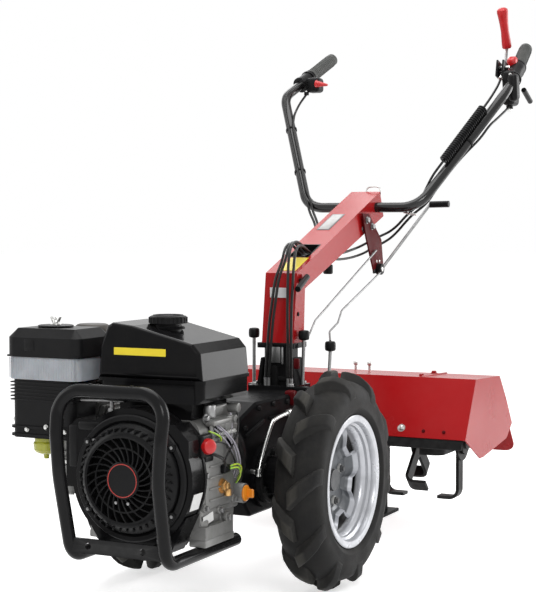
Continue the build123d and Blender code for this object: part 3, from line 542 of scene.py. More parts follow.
bm = bmesh.new()
for side in (1, -1):
    outward = (side, 0, 0)
    bolts(bm, [(side * 80, y, AXLE_Z + z) for y, z in ring(6, 50, 30)], outward, 12, 6, 9)
    bolts(bm, [(side * 68, SIDE_COVER[0] + y, SIDE_COVER[1] + z) for y, z in ring(6, 37, 30)], outward, 9, 4)
    bolts(bm, [(side * 61, y, z) for y, z in CASE_SEAM], outward, 10, 5)
bolts(bm, [(x, -178, CRANK_Z + z) for x, z in ring(8, 97, 22.5)], REARWARD, 10, 5)
bolts(bm, [(x, NECK_Y, NECK_Z + z) for x, z in ring(8, 64, 22.5)], REARWARD, 11, 6, 8)
finish_piece("gearbox_bolts", bm, BLACK_CASTING)


# ---------------- engine block
# Single-cylinder engine with a finned cylinder leaning to the right under a black rocker cover.
# The crankcase is bare cast aluminium, with a bolted side cover, bolted feet and a brass sensor.
RAW_CASTING = finish_of("raw_casting", (0.24, 0.24, 0.235), (0.15, 0.15, 0.145), 16, (0.42, 0.6), 0.4,
                        metal=0.55, grain=420, dust=0.25, dust_shade=(0.2, 0.19, 0.17))
BLACK_PLASTIC = finish_of("black_plastic", (0.005, 0.005, 0.0055), (0.008, 0.008, 0.0085), 24, (0.3, 0.42),
                          0.18, grain=800, dust=0.03, dust_shade=DARK_DUST, specular=0.12)
dress(RAW_CASTING, "engine_block")

ON_HEAD = Matrix.Translation((-140, -279, 336)) @ leaned("Y", 25)
COVER_BOLTS = ((-384, 228), (-384, 292), (-384, 356), (-266, 228), (-266, 292), (-266, 356), (-325, 216),
               (-325, 366))
FEET = [(side * 113, y) for side in (1, -1) for y in (-378, -300)]
bm = bmesh.new()
for offset in range(-84, 40, 15):
    block(bm, (offset - 1.6, -51, -69), (offset + 1.6, 51, 69), 1.2, 1)
bm.transform(ON_HEAD)
finish_piece("cylinder_fins", bm, RAW_CASTING)

bm = bmesh.new()
block(bm, (-128, -40, -50), (-111, 40, 50), 7, 3)
for y, z in ((-30, -38), (-30, 38), (30, -38), (30, 38)):
    rod(bm, (-126, y, z), (-133, y, z), 5.5, 6)
rod(bm, (-104, 18, 40), (-146, 18, 62), 8, 16, 2)
bm.transform(ON_HEAD)
finish_piece("rocker_cover", bm, BLACK_PLASTIC)

bm = bmesh.new()
block(bm, (112, -392, 210), (121, -258, 372), 6, 3)
block(bm, (117, -380, 222), (124, -270, 360), 5, 3)
for y, z in COVER_BOLTS:
    rod(bm, (112, y, z), (126, y, z), 8, 16, 1.5)
for z in (240, 262, 284, 306):
    block(bm, (121, -368, z - 2), (127, -300, z + 2), 1.5, 2)
block(bm, (90, -252, 200), (99, -196, 372), 5, 2)
for side in (1, -1):
    for y in (-378, -300):
        rod(bm, (side * 113, y, 190), (side * 113, y, 203), 13, 18, 2)
    block(bm, (side * 113 - 19, -396, 153), (side * 113 + 19, -278, 168), 3, 2)
rod(bm, (118, -300, 198), (131, -300, 198), 11, 20, 1)
rod(bm, (92, -208, 230), (121, -208, 230), 20, 24, 2)
block(bm, (60, -330, 392), (104, -230, 418), 6, 3)
finish_piece("crankcase_cover", bm, RAW_CASTING)

bm = bmesh.new()
bolts(bm, [(126, y, z) for y, z in COVER_BOLTS], LEFTWARD, 10, 5)
bolts(bm, [(x, y, 203) for x, y in FEET], UPWARD, 13, 7, 11)
hex_bolt(bm, (131, -300, 198), LEFTWARD, 13, 5)
finish_piece("engine_bolts", bm, DULL_STEEL)

BRASS = finish_of("brass_plug", (0.55, 0.33, 0.13), (0.42, 0.24, 0.09), 80, (0.3, 0.45), 0.15,
                  slot="bright_steel", metal=0.9, grain=700)
bm = bmesh.new()
hex_bolt(bm, (124, -316, 262), LEFTWARD, 20, 9, 15)
rod(bm, (124, -316, 262), (140, -316, 262), 7, 16, 1)
rod(bm, (128, -300, 254), (128, -300, 240), 8, 16, 1.5)
finish_piece("oil_sensor", bm, BRASS)


# ---------------- fan shroud and starter
# Moulded black shroud over the flywheel.  The rope starter's cover is a dish with a ring of
# slanting vanes, louvres round its side and a plain dark disc ringed in red at its middle.
SHROUD_FACE_Y = -452.0
ON_SHROUD = facing((0, SHROUD_FACE_Y, CRANK_Z), FORWARD)
SHROUD_SCREWS = [ring(1, 114, angle)[0] for angle in (35, 145, 215, 325)]
VANES, VANE_LEAN, LOUVRES = 26, 26, 40

bm = bmesh.new()
turned(bm, [(107, 0), (107, 5), (104, 10), (101, 12), (93, 27), (90, 30), (85, 32), (81, 31), (81, 22),
            (84, 20), (96, 3), (96, 0)], ON_SHROUD, 96, True)
turned(bm, [(0, 33.5), (34, 33.5), (36, 32), (36, 20), (30, 18), (0, 18)], ON_SHROUD, 64)
collar(bm, (60, 63), (25.5, 30), ON_SHROUD, 72)
finish_piece("starter_dish", bm, BLACK_PLASTIC, replaces=["recoil_cover"])

bm = bmesh.new()
for index in range(VANES):
    vane = bmesh.new()
    block(vane, (34, -1.7, 20), (83, 1.7, 31), 0.8, 1)
    bmesh.ops.subdivide_edges(vane, edges=[e for e in vane.edges if e.calc_length() > 40], cuts=3)
    for v in vane.verts:
        bend = VANE_LEAN * (v.co.x - 34) / (83 - 34)
        v.co = leaned("Z", 360 / VANES * index + bend) @ v.co
    add_to(bm, vane)
for index in range(LOUVRES):
    louvre = bmesh.new()
    block(louvre, (94, -2.2, 0), (100, 2.2, 30), 1.0, 1, turn=leaned("X", -28))
    add_to(bm, louvre, leaned("Z", 360 / LOUVRES * index))
bm.transform(ON_SHROUD)
finish_piece("starter_vanes", bm, BLACK_PLASTIC)

# Painted shade: a matt near-black disc in the dish's well, under the vanes, stands for the shade there.
PAINTED_SHADE_BLACK = finish_of("painted_shade_black", (0.004, 0.004, 0.004), (0.007, 0.007, 0.007), 8, (0.8, 0.9), 0.1,
                        slot="black_plastic", specular=0.1)
bm = bmesh.new()
turned(bm, [(0, 12), (88, 12), (88, 4), (0, 4)], ON_SHROUD, 48)
finish_piece("starter_well", bm, PAINTED_SHADE_BLACK)

MARK_RED = finish_of("mark_red", (0.45, 0.03, 0.02), (0.35, 0.02, 0.015), 50, (0.3, 0.4), 0.05,
                     slot="red_plastic")
bm = bmesh.new()
collar(bm, (30.6, 32.4), (33.2, 34.1), ON_SHROUD, 72)
finish_piece("starter_ring", bm, MARK_RED)

bm = bmesh.new()
turned(bm, [(108, -1), (121, -1), (123, 3), (120, 6), (112, 6), (108, 2)], ON_SHROUD, 96, True)
collar(bm, (131, 136), (-52, -47), ON_SHROUD, 96)
block(bm, (-142, -454, 300), (-120, -440, 384), 5, 3)
block(bm, (-120, -455, 374), (-70, -444, 392), 5, 3)
for x, z in SHROUD_SCREWS:
    rod(bm, (x, -461, CRANK_Z + z), (x, -450, CRANK_Z + z), 8.5, 20, 1.5)
block(bm, (-50, -446, 152), (64, -420, 176), 6, 3)
finish_piece("shroud_trim", bm, BLACK_PLASTIC)

bm = bmesh.new()
bolts(bm, [(x, -460, CRANK_Z + z) for x, z in SHROUD_SCREWS], FORWARD, 6, 1)
for x in (-14, 13):
    rod(bm, (x, -487, 245), (x, -482, 245), 3.2, 14, 0.8)
block(bm, (20, -449, 402), (78, -443, 408), 1.5, 2)
rod(bm, (74, -446, 392), (74, -446, 407), 3, 12)
block(bm, (-98, -457, 352), (-62, -452, 360), 1.5, 2)
finish_piece("shroud_bolts", bm, DULL_STEEL)


# ---------------- fuel tank
# Pressed-steel tank in gloss black paint, its two halves joined by a rolled seam.  A plain yellow
# bar is stuck on the front.  The moulded cap has a knurled rim and a vent.
TANK_BLACK = finish_of("tank_black", (0.004, 0.004, 0.0045), (0.006, 0.006, 0.0065), 6, (0.1, 0.17), 0.035,
                       grain=350, swell=1.5, dust=0.02, specular=0.075)
dress(TANK_BLACK, "fuel_tank", "blower_housing")
dress(BLACK_PLASTIC, "fuel_cap")

LABEL_YELLOW = finish_of("label_yellow", (0.83, 0.66, 0.02), (0.78, 0.61, 0.018), 30, (0.35, 0.45), 0.03,
                         slot="red_paint")
TANK_FRONT_Y = -416.0
bm = bmesh.new()
block(bm, (-60, TANK_FRONT_Y - 0.7, 520.5), (56, TANK_FRONT_Y + 0.5, 535), 0.3, 1)
finish_piece("tank_bar", bm, LABEL_YELLOW)

CAP_RIDGES = 26
bm = bmesh.new()
for x, y in ring(CAP_RIDGES, 36.6):
    rod(bm, (x, y, 580), (x, y, 591.5), 2.1, 8)
turned(bm, [(0, 594), (24, 594), (26, 596), (30, 596), (32, 593), (0, 593)], Matrix.Identity(4), 56)
turned(bm, [(22, 568), (33, 568), (34, 571), (32, 573), (22, 573)], Matrix.Identity(4), 56, True)
bm.transform(Matrix.Translation((12, -330, 0)))
finish_piece("fuel_cap_rim", bm, BLACK_PLASTIC)

bm = bmesh.new()
bolts(bm, [(-48, -384, 430), (92, -384, 430), (-48, -262, 430), (92, -262, 430)], DOWNWARD, 12, 10, 10)
rod(bm, (-146, -402, 426), (-46, -402, 428), 2.4, 12)
rod(bm, (-74, -402, 428), (-74, -402, 408), 4.5, 14)
hex_bolt(bm, (-74, -402, 410), FORWARD, 10, 5)
rod(bm, (112, -345, 398), (112, -345, 424), 13, 24, 3)
hex_bolt(bm, (118, -372, 400), LEFTWARD, 10, 6, 9)
finish_piece("tank_studs", bm, DULL_STEEL)


# ---------------- air cleaner
# A moulded cover clamped by a wing nut over a milky oil-bath band.  The ribbed black base
# carries a see-through dust cup underneath.
MILKY = finish_of("milky_plastic", (0.44, 0.465, 0.5), (0.27, 0.285, 0.31), 11, (0.25, 0.38), 0.12,
                  grain=160, swell=1.0, dust=0.12, Subsurface_Weight=0.15, Subsurface_Scale=0.004)
CUP_GREEN = finish_of("cup_plastic", (0.55, 0.55, 0.045), (0.42, 0.44, 0.03), 40, (0.12, 0.22), 0.05,
                      Transmission_Weight=0.25)
dress(BLACK_PLASTIC, "air_cleaner_base", "air_cleaner_cover")
dress(MILKY, "air_cleaner_element")
dress(CUP_GREEN, "dust_cup")

bm = bmesh.new()
for x in range(-297, -140, 6):
    block(bm, (x, -427.5, 466), (x + 1.4, -426, 507), 0.4, 1)
for y in range(-420, -306, 6):
    block(bm, (-305.5, y, 466), (-304, y + 1.4, 507), 0.4, 1)
finish_piece("air_cleaner_band_ribs", bm, MILKY)

bm = bmesh.new()
for z in range(421, 462, 7):
    block(bm, (-301.6, -423.6, z), (-150.4, -326.4, z + 3), 1.0, 2)
block(bm, (-306, -428, 509), (-135, -300, 513), 1.5, 2)
block(bm, (-262, -431, 522), (-238, -428, 544), 1.2, 2)
turned(bm, [(0, 566), (33, 566), (36, 567.5), (36, 570), (33, 571), (0, 571)],
       Matrix.Translation((-232, -362, 0)), 56)
rod(bm, (-236, -392, 345), (-236, -392, 351), 28, 32, 1.5)
finish_piece("air_cleaner_ribs", bm, BLACK_PLASTIC)

bm = bmesh.new()
rod(bm, (-232, -362, 571), (-232, -362, 573), 12, 28, 0.6)
rod(bm, (-232, -362, 573), (-232, -362, 581), 6.5, 20, 0.8, end_radius=5)
rod(bm, (-232, -362, 581), (-232, -362, 588), 2.6, 14, 0.8)
for lean, x in ((28, -239.5), (-28, -224.5)):
    block(bm, (x - 1.5, -366.5, 574), (x + 1.5, -357.5, 588), 1.3, 2, turn=leaned("Y", -lean))
bolts(bm, [(-260, -424.5, 364), (-214, -424.5, 370), (-170, -424.5, 364)], FORWARD, 7, 3, 5.5)
bolts(bm, [(-301, -405, 380), (-301, -345, 380)], (-1, 0, 0), 7, 3, 5.5)
finish_piece("air_cleaner_nut", bm, BRIGHT_STEEL)

bm = bmesh.new()
turned(bm, [(0, 302), (5, 302), (6, 310), (14, 312), (25, 320), (26.5, 334), (24, 338)],
       Matrix.Translation((-236, -392, 0)), 40)
finish_piece("dust_cup_tip", bm, CUP_GREEN)


# ---------------- carburettor and muffler
# The carburettor hangs between the air cleaner and the cylinder, with its choke lever and float
# bowl.  The muffler sits behind the air cleaner inside a pierced guard.
EXHAUST_STEEL = finish_of("exhaust_steel", (0.035, 0.033, 0.031), (0.055, 0.048, 0.042), 20, (0.45, 0.6),
                          0.25, metal=0.5, grain=380, dust=0.06)
dress(RAW_CASTING, "carburettor")
dress(EXHAUST_STEEL, "muffler")

bm = bmesh.new()
turned(bm, [(0, 232), (6, 232), (7, 237), (21, 239), (23.5, 246), (23.5, 262), (24.5, 264), (24.5, 270),
                     (0, 270)], Matrix.Translation((-186, -378, 0)), 36)
block(bm, (-200, -408, 286), (-170, -400, 312), 2, 2)
rod(bm, (-186, -410, 300), (-186, -402, 300), 9, 20, 1)
finish_piece("carburettor_bowl", bm, RAW_CASTING)

bm = bmesh.new()
block(bm, (-190, -412, 296), (-150, -409, 303), 1.2, 2, turn=leaned("Y", 20))
rod(bm, (-156, -414, 292), (-156, -404, 292), 3.4, 14)
hex_bolt(bm, (-186, -378, 236), DOWNWARD, 10, 5)
hex_bolt(bm, (-186, -410, 300), FORWARD, 8, 3)
finish_piece("carburettor_levers", bm, BRIGHT_STEEL)

bm = bmesh.new()
for x in range(-272, -154, 9):
    block(bm, (x, -288.5, 452), (x + 5, -283, 536), 1, 1)
    block(bm, (x, -187, 452), (x + 5, -181.5, 536), 1, 1)
for y in range(-279, -190, 9):
    block(bm, (-283.5, y, 452), (-278, y + 5, 536), 1, 1)
for z in (446, 535):
    block(bm, (-284, -289, z), (-146, -181, z + 7), 3, 2)
finish_piece("muffler_guard", bm, EXHAUST_STEEL)


# ---------------- engine controls and wires
# The stop switch is a red button in a black box on the crankcase side.  Round it are the governor
# arm and its spring, the wires to the switch, an orange oil plug and two blank white stickers.
SWITCH_RED = finish_of("switch_red", (0.55, 0.012, 0.014), (0.45, 0.01, 0.012), 40, (0.25, 0.35), 0.08,
                       slot="red_plastic")
OIL_ORANGE = finish_of("oil_orange", (0.83, 0.27, 0.015), (0.7, 0.22, 0.012), 40, (0.3, 0.42), 0.12,
                       slot="orange_plastic")
STICKER_WHITE = finish_of("sticker_white", (0.78, 0.78, 0.77), (0.72, 0.72, 0.71), 40, (0.4, 0.5), 0.04,
                          slot="raw_casting")
bm = bmesh.new()
block(bm, (116, -408, 328), (132, -366, 372), 3.5, 3)
rod(bm, (130, -388, 350), (138, -388, 350), 15, 32, 1.5)
finish_piece("switch_box", bm, BLACK_PLASTIC, replaces=["engine_switch"])
bm = bmesh.new()
turned(bm, [(0, 24), (8, 23.5), (13, 21), (15, 16.5), (15.5, 9), (14, 7), (14, 0), (0, 0)],
       facing((126, -389, 350), (0.86, -0.5, 0.05)), 36)
finish_piece("stop_button", bm, SWITCH_RED)

bm = bmesh.new()
turned(bm, [(0, 117), (14, 117), (16.5, 119), (16.5, 123), (13, 126), (6, 127), (0, 127)],
       facing((0, -208, 230), LEFTWARD), 32)
block(bm, (124, -211, 221), (140, -205, 239), 3, 3)
finish_piece("oil_plug", bm, OIL_ORANGE, replaces=["oil_cap"])

bm = bmesh.new()
block(bm, (119, -352, 300), (122.5, -340, 398), 1.5, 2, turn=leaned("X", 14))
block(bm, (119, -330, 372), (122.5, -246, 381), 1.5, 2, turn=leaned("X", -6))
block(bm, (116, -372, 386), (138, -300, 396), 3, 2)
block(bm, (116, -300, 330), (124, -262, 396), 3, 2)
rod(bm, (118, -262, 388), (128, -262, 388), 8, 18, 1)
rod(bm, (96, -246, 408), (126, -246, 408), 10, 20, 2)
finish_piece("governor_arm", bm, RAW_CASTING)

bm = bmesh.new()
block(bm, (120.4, -386, 196), (121.6, -346, 214), 0.4, 1, turn=leaned("X", 8))
shroud_side = bmesh.new()
block(shroud_side, (134.2, -446, -17), (135.4, -412, 17), 0.4, 1)
add_to(bm, shroud_side, Matrix.Translation((0, 0, CRANK_Z)) @ leaned("Y", 17))
finish_piece("blank_stickers", bm, STICKER_WHITE)


def wires(name, routes, radius, finish, rounds=3, steps=6, capped=True):
    """Wires or springs on the machine: smooth curves through routes, in working millimetres."""
    curve = bpy.data.curves.new(name, "CURVE")
    curve.dimensions = "3D"
    curve.bevel_depth = radius / 1000
    curve.bevel_resolution = rounds
    curve.resolution_u = steps
    curve.use_fill_caps = capped
    for route in routes:
        spline = curve.splines.new("NURBS")
        spline.points.add(len(route) - 1)
        for point, place in zip(spline.points, route):
            point.co = (*(FROM_AXLE @ Vector(place)), 1)
        spline.order_u = 3
        spline.use_endpoint_u = True
    curve.materials.append(finish)
    ride_on(in_scene(name, curve), "machine")


SHEATH_BLACK = finish_of("cable_sheath", (0.006, 0.006, 0.006), (0.01, 0.01, 0.01), 50, (0.28, 0.38), 0.08,
                         grain=900, specular=0.25)
WIRE_GREEN = finish_of("wire_green", (0.1, 0.5, 0.03), (0.6, 0.55, 0.03), 90, (0.35, 0.45), 0.05,
                       slot="cable_sheath")
WIRE_PALE = finish_of("wire_pale", (0.4, 0.38, 0.43), (0.28, 0.27, 0.31), 90, (0.35, 0.45), 0.05,
                      slot="cable_sheath")
wires("switch_wires", [
    [(128, -378, 336), (140, -352, 330), (138, -330, 312), (132, -316, 300)],
    [(128, -372, 332), (142, -346, 322), (138, -322, 306), (130, -308, 298)],
    [(128, -366, 352), (138, -340, 356), (136, -300, 330), (132, -268, 296), (116, -246, 282)],
    [(120, -244, 404), (138, -266, 372), (136, -292, 340), (128, -308, 316), (124, -312, 300)],
], 1.9, SHEATH_BLACK)
wires("earth_wires", [
    [(128, -300, 296), (140, -284, 304), (140, -262, 294), (130, -246, 276), (116, -234, 264)],
    [(128, -302, 292), (142, -284, 298), (140, -266, 286), (130, -250, 268), (116, -240, 256)],
    [(126, -372, 376), (134, -350, 368), (132, -330, 356), (124, -322, 348)],
], 1.8, WIRE_GREEN)
wires("loom_wires", [
    [(122, -336, 382), (134, -318, 366), (134, -284, 338), (130, -258, 304),
     (124, -250, 282), (112, -238, 266)],
    [(122, -330, 384), (138, -308, 362), (138, -276, 332), (134, -254, 300),
     (126, -246, 280), (112, -232, 264)],
    [(122, -344, 378), (132, -326, 360), (132, -292, 334), (128, -268, 302),
     (122, -258, 280), (112, -248, 268)],
    [(118, -268, 400), (124, -272, 380), (124, -276, 340), (118, -278, 318)],
], 1.7, WIRE_PALE)
bm = bmesh.new()
block(bm, (122, -322, 287), (134, -296, 303), 3, 2)
block(bm, (120, -392, 318), (130, -360, 330), 2.5, 2)
finish_piece("wire_plug", bm, BLACK_PLASTIC)
COIL_STEPS, STEPS_ROUND, COIL_R = 96, 8, 4
coil = []
for index in range(COIL_STEPS + 1):
    angle = math.tau * index / STEPS_ROUND
    coil.append((127 + COIL_R * math.cos(angle), -338 + 0.75 * index, 366 + COIL_R * math.sin(angle)))
wires("governor_spring", [coil], 0.8, BRIGHT_STEEL, rounds=2, steps=12, capped=False)


# ---------------- bumper
# Bent tube hoop in satin black paint with a welded cross plate, carried back under the engine and
# bolted to its feet.  Its open tube ends are plugged.
SATIN_STEEL = finish_of("satin_black_steel", (0.0055, 0.0055, 0.006), (0.009, 0.009, 0.0095), 12,
                        (0.14, 0.22), 0.06, grain=520, swell=0.8, worn=(0.04, 0.04, 0.04), dust=0.02,
                        dust_shade=DARK_DUST, specular=0.12)
dress(SATIN_STEEL, "bumper_frame")
HOOP_MIDDLE_X = 7.0
bm = bmesh.new()
for side in (1, -1):
    tube, lug_x = HOOP_MIDDLE_X + side * 104, HOOP_MIDDLE_X + side * 45
    rod(bm, (tube, -233, 140), (tube, -228.5, 140), 11.5, 24, 2)
    rod(bm, (lug_x, -534, 472), (lug_x, -534, 476), 4.2, 14, 1)
finish_piece("bumper_plugs", bm, BLACK_PLASTIC)
bm = bmesh.new()
bolts(bm, [(x, y, 154) for x, y in FEET], DOWNWARD, 13, 7, 11)
finish_piece("bumper_bolts", bm, DULL_STEEL)


# ---------------- steering column and beam
# A red square column stands in a black cast bracket and is mitred into a red box beam that rises
# to the handlebar.  A blank plate, a patch and the cable slot's grommet lie on the beam's top, one
# more blank plate is on the column, and bolts hold both.
RED_PAINT = finish_of("red_paint", (0.37, 0.006, 0.008), (0.32, 0.0045, 0.006), 3, (0.2, 0.3), 0.06,
                      grain=500, swell=1.4, dust=0.04, dust_shade=(0.5, 0.2, 0.18), specular=0.16)
dress(RED_PAINT, "column", "handlebar_beam")
dress(SATIN_STEEL, "column_bracket")

ALONG_BEAM = Matrix.Translation((0, 211, 663)) @ leaned("X", 21.3)     # from the elbow, up the slope
# Red paint darkened as painted shade, for parts that sit in shade: the lever plate, the selector's sleeve
# and the plugs in the hood's front.
SHADED_RED = finish_of("shaded_red_paint", (0.1, 0.003, 0.005), (0.065, 0.002, 0.004), 12, (0.26, 0.36), 0.08,
                      slot="red_paint", grain=500, dust=0.04, specular=0.045)
LABEL_PLATE = finish_of("label_plate", (0.72, 0.72, 0.73), (0.66, 0.66, 0.67), 20, (0.3, 0.4), 0.04,
                        slot="red_paint")
LABEL_SILVER = finish_of("label_silver", (0.4, 0.395, 0.385), (0.33, 0.325, 0.32), 90, (0.3, 0.4), 0.04,
                         slot="red_paint")
LABEL_GREY = finish_of("label_grey", (0.12, 0.12, 0.125), (0.1, 0.1, 0.105), 20, (0.35, 0.45), 0.04,
                       slot="red_paint")

SLOT_EDGES = (((-26, 96), (26, 99)), ((-26, 173), (26, 176)), ((-27, 97), (-24, 175)), ((24, 97), (27, 175)))
for name, finish, soften, segments, boxes in (
        ("beam_plate_rim", LABEL_GREY, 0.5, 2, [((-26, 271, -0.4), (8, 378, 0.9))]),
        ("beam_plate", LABEL_SILVER, 0.5, 2, [((-22.5, 275, 0.3), (4.5, 374, 1.5))]),
        ("beam_grommet", BLACK_PLASTIC, 0.6, 1, [((*low, -34), (*high, 0.8)) for low, high in SLOT_EDGES]),
        ("beam_patch", LABEL_YELLOW, 0.4, 1, [((-14, 14, -0.3), (30, 92, 0.8))])):
    bm = bmesh.new()
    for low, high in boxes:
        block(bm, low, high, soften, segments)
    bm.transform(ALONG_BEAM)
    finish_piece(name, bm, finish)
bm = bmesh.new()
block(bm, (-19, 190.2, 607), (22, 191.2, 630), 0.4, 1)
finish_piece("blank_plates", bm, LABEL_PLATE)

bm = bmesh.new()
for side in (1, -1):
    bolts(bm, [(side * 46, 166, 407.5), (side * 46, 236, 407.5)], UPWARD, 10, 5, 8)
    hex_bolt(bm, (side * 35, 602, 764), (side, 0, 0), 12, 5, 10)
    hex_bolt(bm, (side * 34, 226, 440), (side, 0, 0), 11, 5, 9)
hex_bolt(bm, (-66, 215, 406), UPWARD, 8, 4)
finish_piece("column_bolts", bm, DULL_STEEL)
bm = bmesh.new()
for side in (1, -1):
    block(bm, (side * 40 - 5, 182, 404), (side * 40 + 5, 240, 470), 4, 2, turn=leaned("Y", side * -9))
block(bm, (-8, 172, 404), (8, 186, 452), 4, 2)
block(bm, (-30, 176, 418), (30, 184, 428), 3, 2)
for side in (1, -1):
    rod(bm, (side * 38, 216, 569), (side * 42, 216, 569), 5, 16, 1)
block(bm, (50, 158, 398), (88, 180, 408), 3, 2)
finish_piece("bracket_ribs", bm, BLACK_CASTING)
bm = bmesh.new()
block(bm, (-11, 178, 458), (13, 186, 495), 2, 2)
rod(bm, (18, 179, 456), (18, 179, 495), 2.4, 12, 0.8)
finish_piece("column_foot", bm, DULL_STEEL)

# The selector's own small parts stand at the bracket's left bm: a ball joint, a red sleeve and
# a bright cranked rod that goes down beside the gearbox to a clevis.
bm = bmesh.new()
turned(bm, [(0, 400), (8, 398), (13, 393), (14.5, 386), (12.5, 378), (7, 373), (0, 372)],
       Matrix.Translation((83, 168, 0)), 28)
finish_piece("selector_ball", bm, DISC_GREY)
# The sleeve takes the red that is darkened as painted shade.
bm = bmesh.new()
block(bm, (46, 128, 368), (70, 152, 402), 6, 3)
block(bm, (54, 160, 448), (68, 168, 472), 3, 2)
finish_piece("selector_sleeve", bm, SHADED_RED)
bm = bmesh.new()
rod(bm, (80, -67, 247), (52, -67, 250), 5.5, 16, 1)
rod(bm, (80, -67, 256), (80, -67, 240), 7.5, 16, 1)
block(bm, (74, 74, 352), (86, 100, 366), 2.5, 2)
finish_piece("selector_clevis", bm, BRIGHT_STEEL)


# ---------------- handlebar
# One bent tube in gloss black, held on the beam's end, with ribbed rubber grips.  Each side has a
# moulded housing for its cables, and a red clutch lever stands at the operator's left.
GRIP_RUBBER = finish_of("grip_rubber", (0.05, 0.053, 0.051), (0.065, 0.068, 0.066), 40, (0.5, 0.65), 0.25,
                        grain=600, dust=0.1, specular=0.25)
LEVER_RED = finish_of("lever_red", (0.5, 0.012, 0.014), (0.44, 0.01, 0.012), 20, (0.3, 0.4), 0.08,
                      slot="red_plastic", grain=500, specular=0.3)
BAR_GLOSS = finish_of("bar_gloss", (0.006, 0.006, 0.0065), (0.009, 0.009, 0.0095), 12, (0.12, 0.2), 0.05,
                      grain=520, swell=0.8, dust=0.02, specular=0.4)
dress(BAR_GLOSS, "handlebar")
dress(GRIP_RUBBER, "handlebar_grips")
dress(BLACK_PLASTIC, "cable_sleeve")
GRIP_RUN = Vector((0.11, -0.887, -0.449))
BAR_TIP = Vector((293, 1156, 1256))


def sided(vector, side):
    """A place or direction of the left side, or the same on the right side."""
    return Vector((side * vector.x, vector.y, vector.z))


def on_grip(distance, side=1):
    """A place on the grip's line, at a distance down from the bar's tip."""
    return facing(sided(BAR_TIP + GRIP_RUN * distance, side), sided(GRIP_RUN, side))


bm = bmesh.new()
for side in (1, -1):
    for distance in range(8, 120, 8):
        turned(bm, [(17, -1.6), (18.4, -0.9), (18.4, 0.9), (17, 1.6)], on_grip(distance, side), 28, True)
    turned(bm, [(0, -9.4), (12, -9.4), (16, -7), (17.6, -3), (0, -3)], on_grip(0, side), 28)
finish_piece("grip_ribs", bm, GRIP_RUBBER)

LEVER_FOOT, LEVER_TOP = Vector((248, 1132, 1262)), Vector((246, 1090, 1366))
bm = bmesh.new()
turned(bm, [(0, 0), (11, 0), (13, 3), (13, 12), (12, 30), (11, 48), (12, 70), (14, 90), (15.5, 101),
               (14.5, 108), (9, 112), (0, 112.5)], facing(LEVER_FOOT, LEVER_TOP - LEVER_FOOT), 32)
finish_piece("clutch_lever_handle", bm, LEVER_RED, replaces=["clutch_lever"])

bm = bmesh.new()
block(bm, (286, 1004, 1184), (312, 1034, 1224), 9, 4, turn=leaned("X", 24))
block(bm, (293, 994, 1176), (311, 1014, 1192), 6, 3)
rod(bm, (-264, 986, 1173), (-228, 985, 1168), 10, 16, end_radius=3)
finish_piece("throttle_button", bm, SWITCH_RED)

bm = bmesh.new()
turned(bm, [(13.4, 0), (19, 0), (21.5, 3), (21.5, 34), (19.5, 40), (19.5, 86), (18, 93), (13.4, 93)],
       on_grip(128.5), 40, True)
block(bm, (291, 944, 1122), (325, 994, 1184), 10, 3, turn=leaned("X", 12))
block(bm, (294, 938, 1089), (328, 992, 1126), 11, 4)
block(bm, (316, 914, 1098), (342, 950, 1170), 11, 4, turn=leaned("X", 8))
block(bm, (299, 944, 1118), (321, 986, 1140), 8, 3)
for x in (276, 292):
    block(bm, (x - 3, 950, 1162), (x + 3, 988, 1208), 2.5, 2, turn=leaned("X", -14))
block(bm, (274, 964, 1158), (306, 992, 1180), 5, 2)
block(bm, (273, 976, 1184), (296, 990, 1194), 3, 2)
block(bm, (290, 1012, 1182), (316, 1050, 1206), 7, 3, turn=leaned("X", 26))
rod(bm, (309, 962, 1092), (309, 962, 1080), 9, 20, 2)
block(bm, (-299, 988, 1150), (-257, 1030, 1192), 10, 4)
rod(bm, (-296, 992, 1152), (-296, 992, 1142), 7, 20, 1.5)
rod(bm, (-300, 992, 1176), (-303, 972, 1180), 7, 20, 1.5)
for side, distance in ((1, 131), (1, 216), (-1, 138), (-1, 184)):
    collar(bm, (20, 22.5), (-2, 5), on_grip(distance, side), 28)
collar(bm, (13.4, 20), (134, 190), on_grip(0, -1), 40)
finish_piece("control_clamps", bm, BLACK_PLASTIC, replaces=["control_housings"])

SLEEVE_TOP, SLEEVE_FOOT = Vector((287.5, 856, 1097.5)), Vector((202, 738.4, 933.6))
SLEEVE_RINGS = 28
bm = bmesh.new()
for index in range(SLEEVE_RINGS):
    point = SLEEVE_TOP.lerp(SLEEVE_FOOT, 0.15 + 0.81 * index / (SLEEVE_RINGS - 1))
    place = facing(point, SLEEVE_FOOT - SLEEVE_TOP)
    turned(bm, [(10.1, -2), (12.8, -0.9), (12.8, 0.9), (10.1, 2)], place, 24, True)
finish_piece("sleeve_rings", bm, BLACK_PLASTIC)

BAR_BEND, BAR_FOOT = Vector((324, 907, 1130)), Vector((154, 690, 819))
bm = bmesh.new()
for side, share in ((-1, 0.31), (-1, 0.69), (1, 0.46)):
    place = facing(sided(BAR_BEND.lerp(BAR_FOOT, share), side), sided(BAR_FOOT - BAR_BEND, side))
    collar(bm, (12.9, 15.4), (-2.6, 2.6), place, 32)
finish_piece("cable_ties", bm, BLACK_PLASTIC)

bm = bmesh.new()
hex_bolt(bm, (309.2, 961, 1083), (0, -0.3, -1), 13, 7)
rod(bm, (288.2, 961, 1171), (287.6, 948, 1159), 6.5, 16, 1)
rod(bm, (272, 970, 1192), (306, 970, 1192), 4, 14, 1)
rod(bm, (316, 943, 1170), (316, 939, 1170), 3.5, 14, 1)
rod(bm, (152, 688, 800), (112, 700, 806), 3, 12, 1)
finish_piece("clamp_fittings", bm, BRIGHT_STEEL)


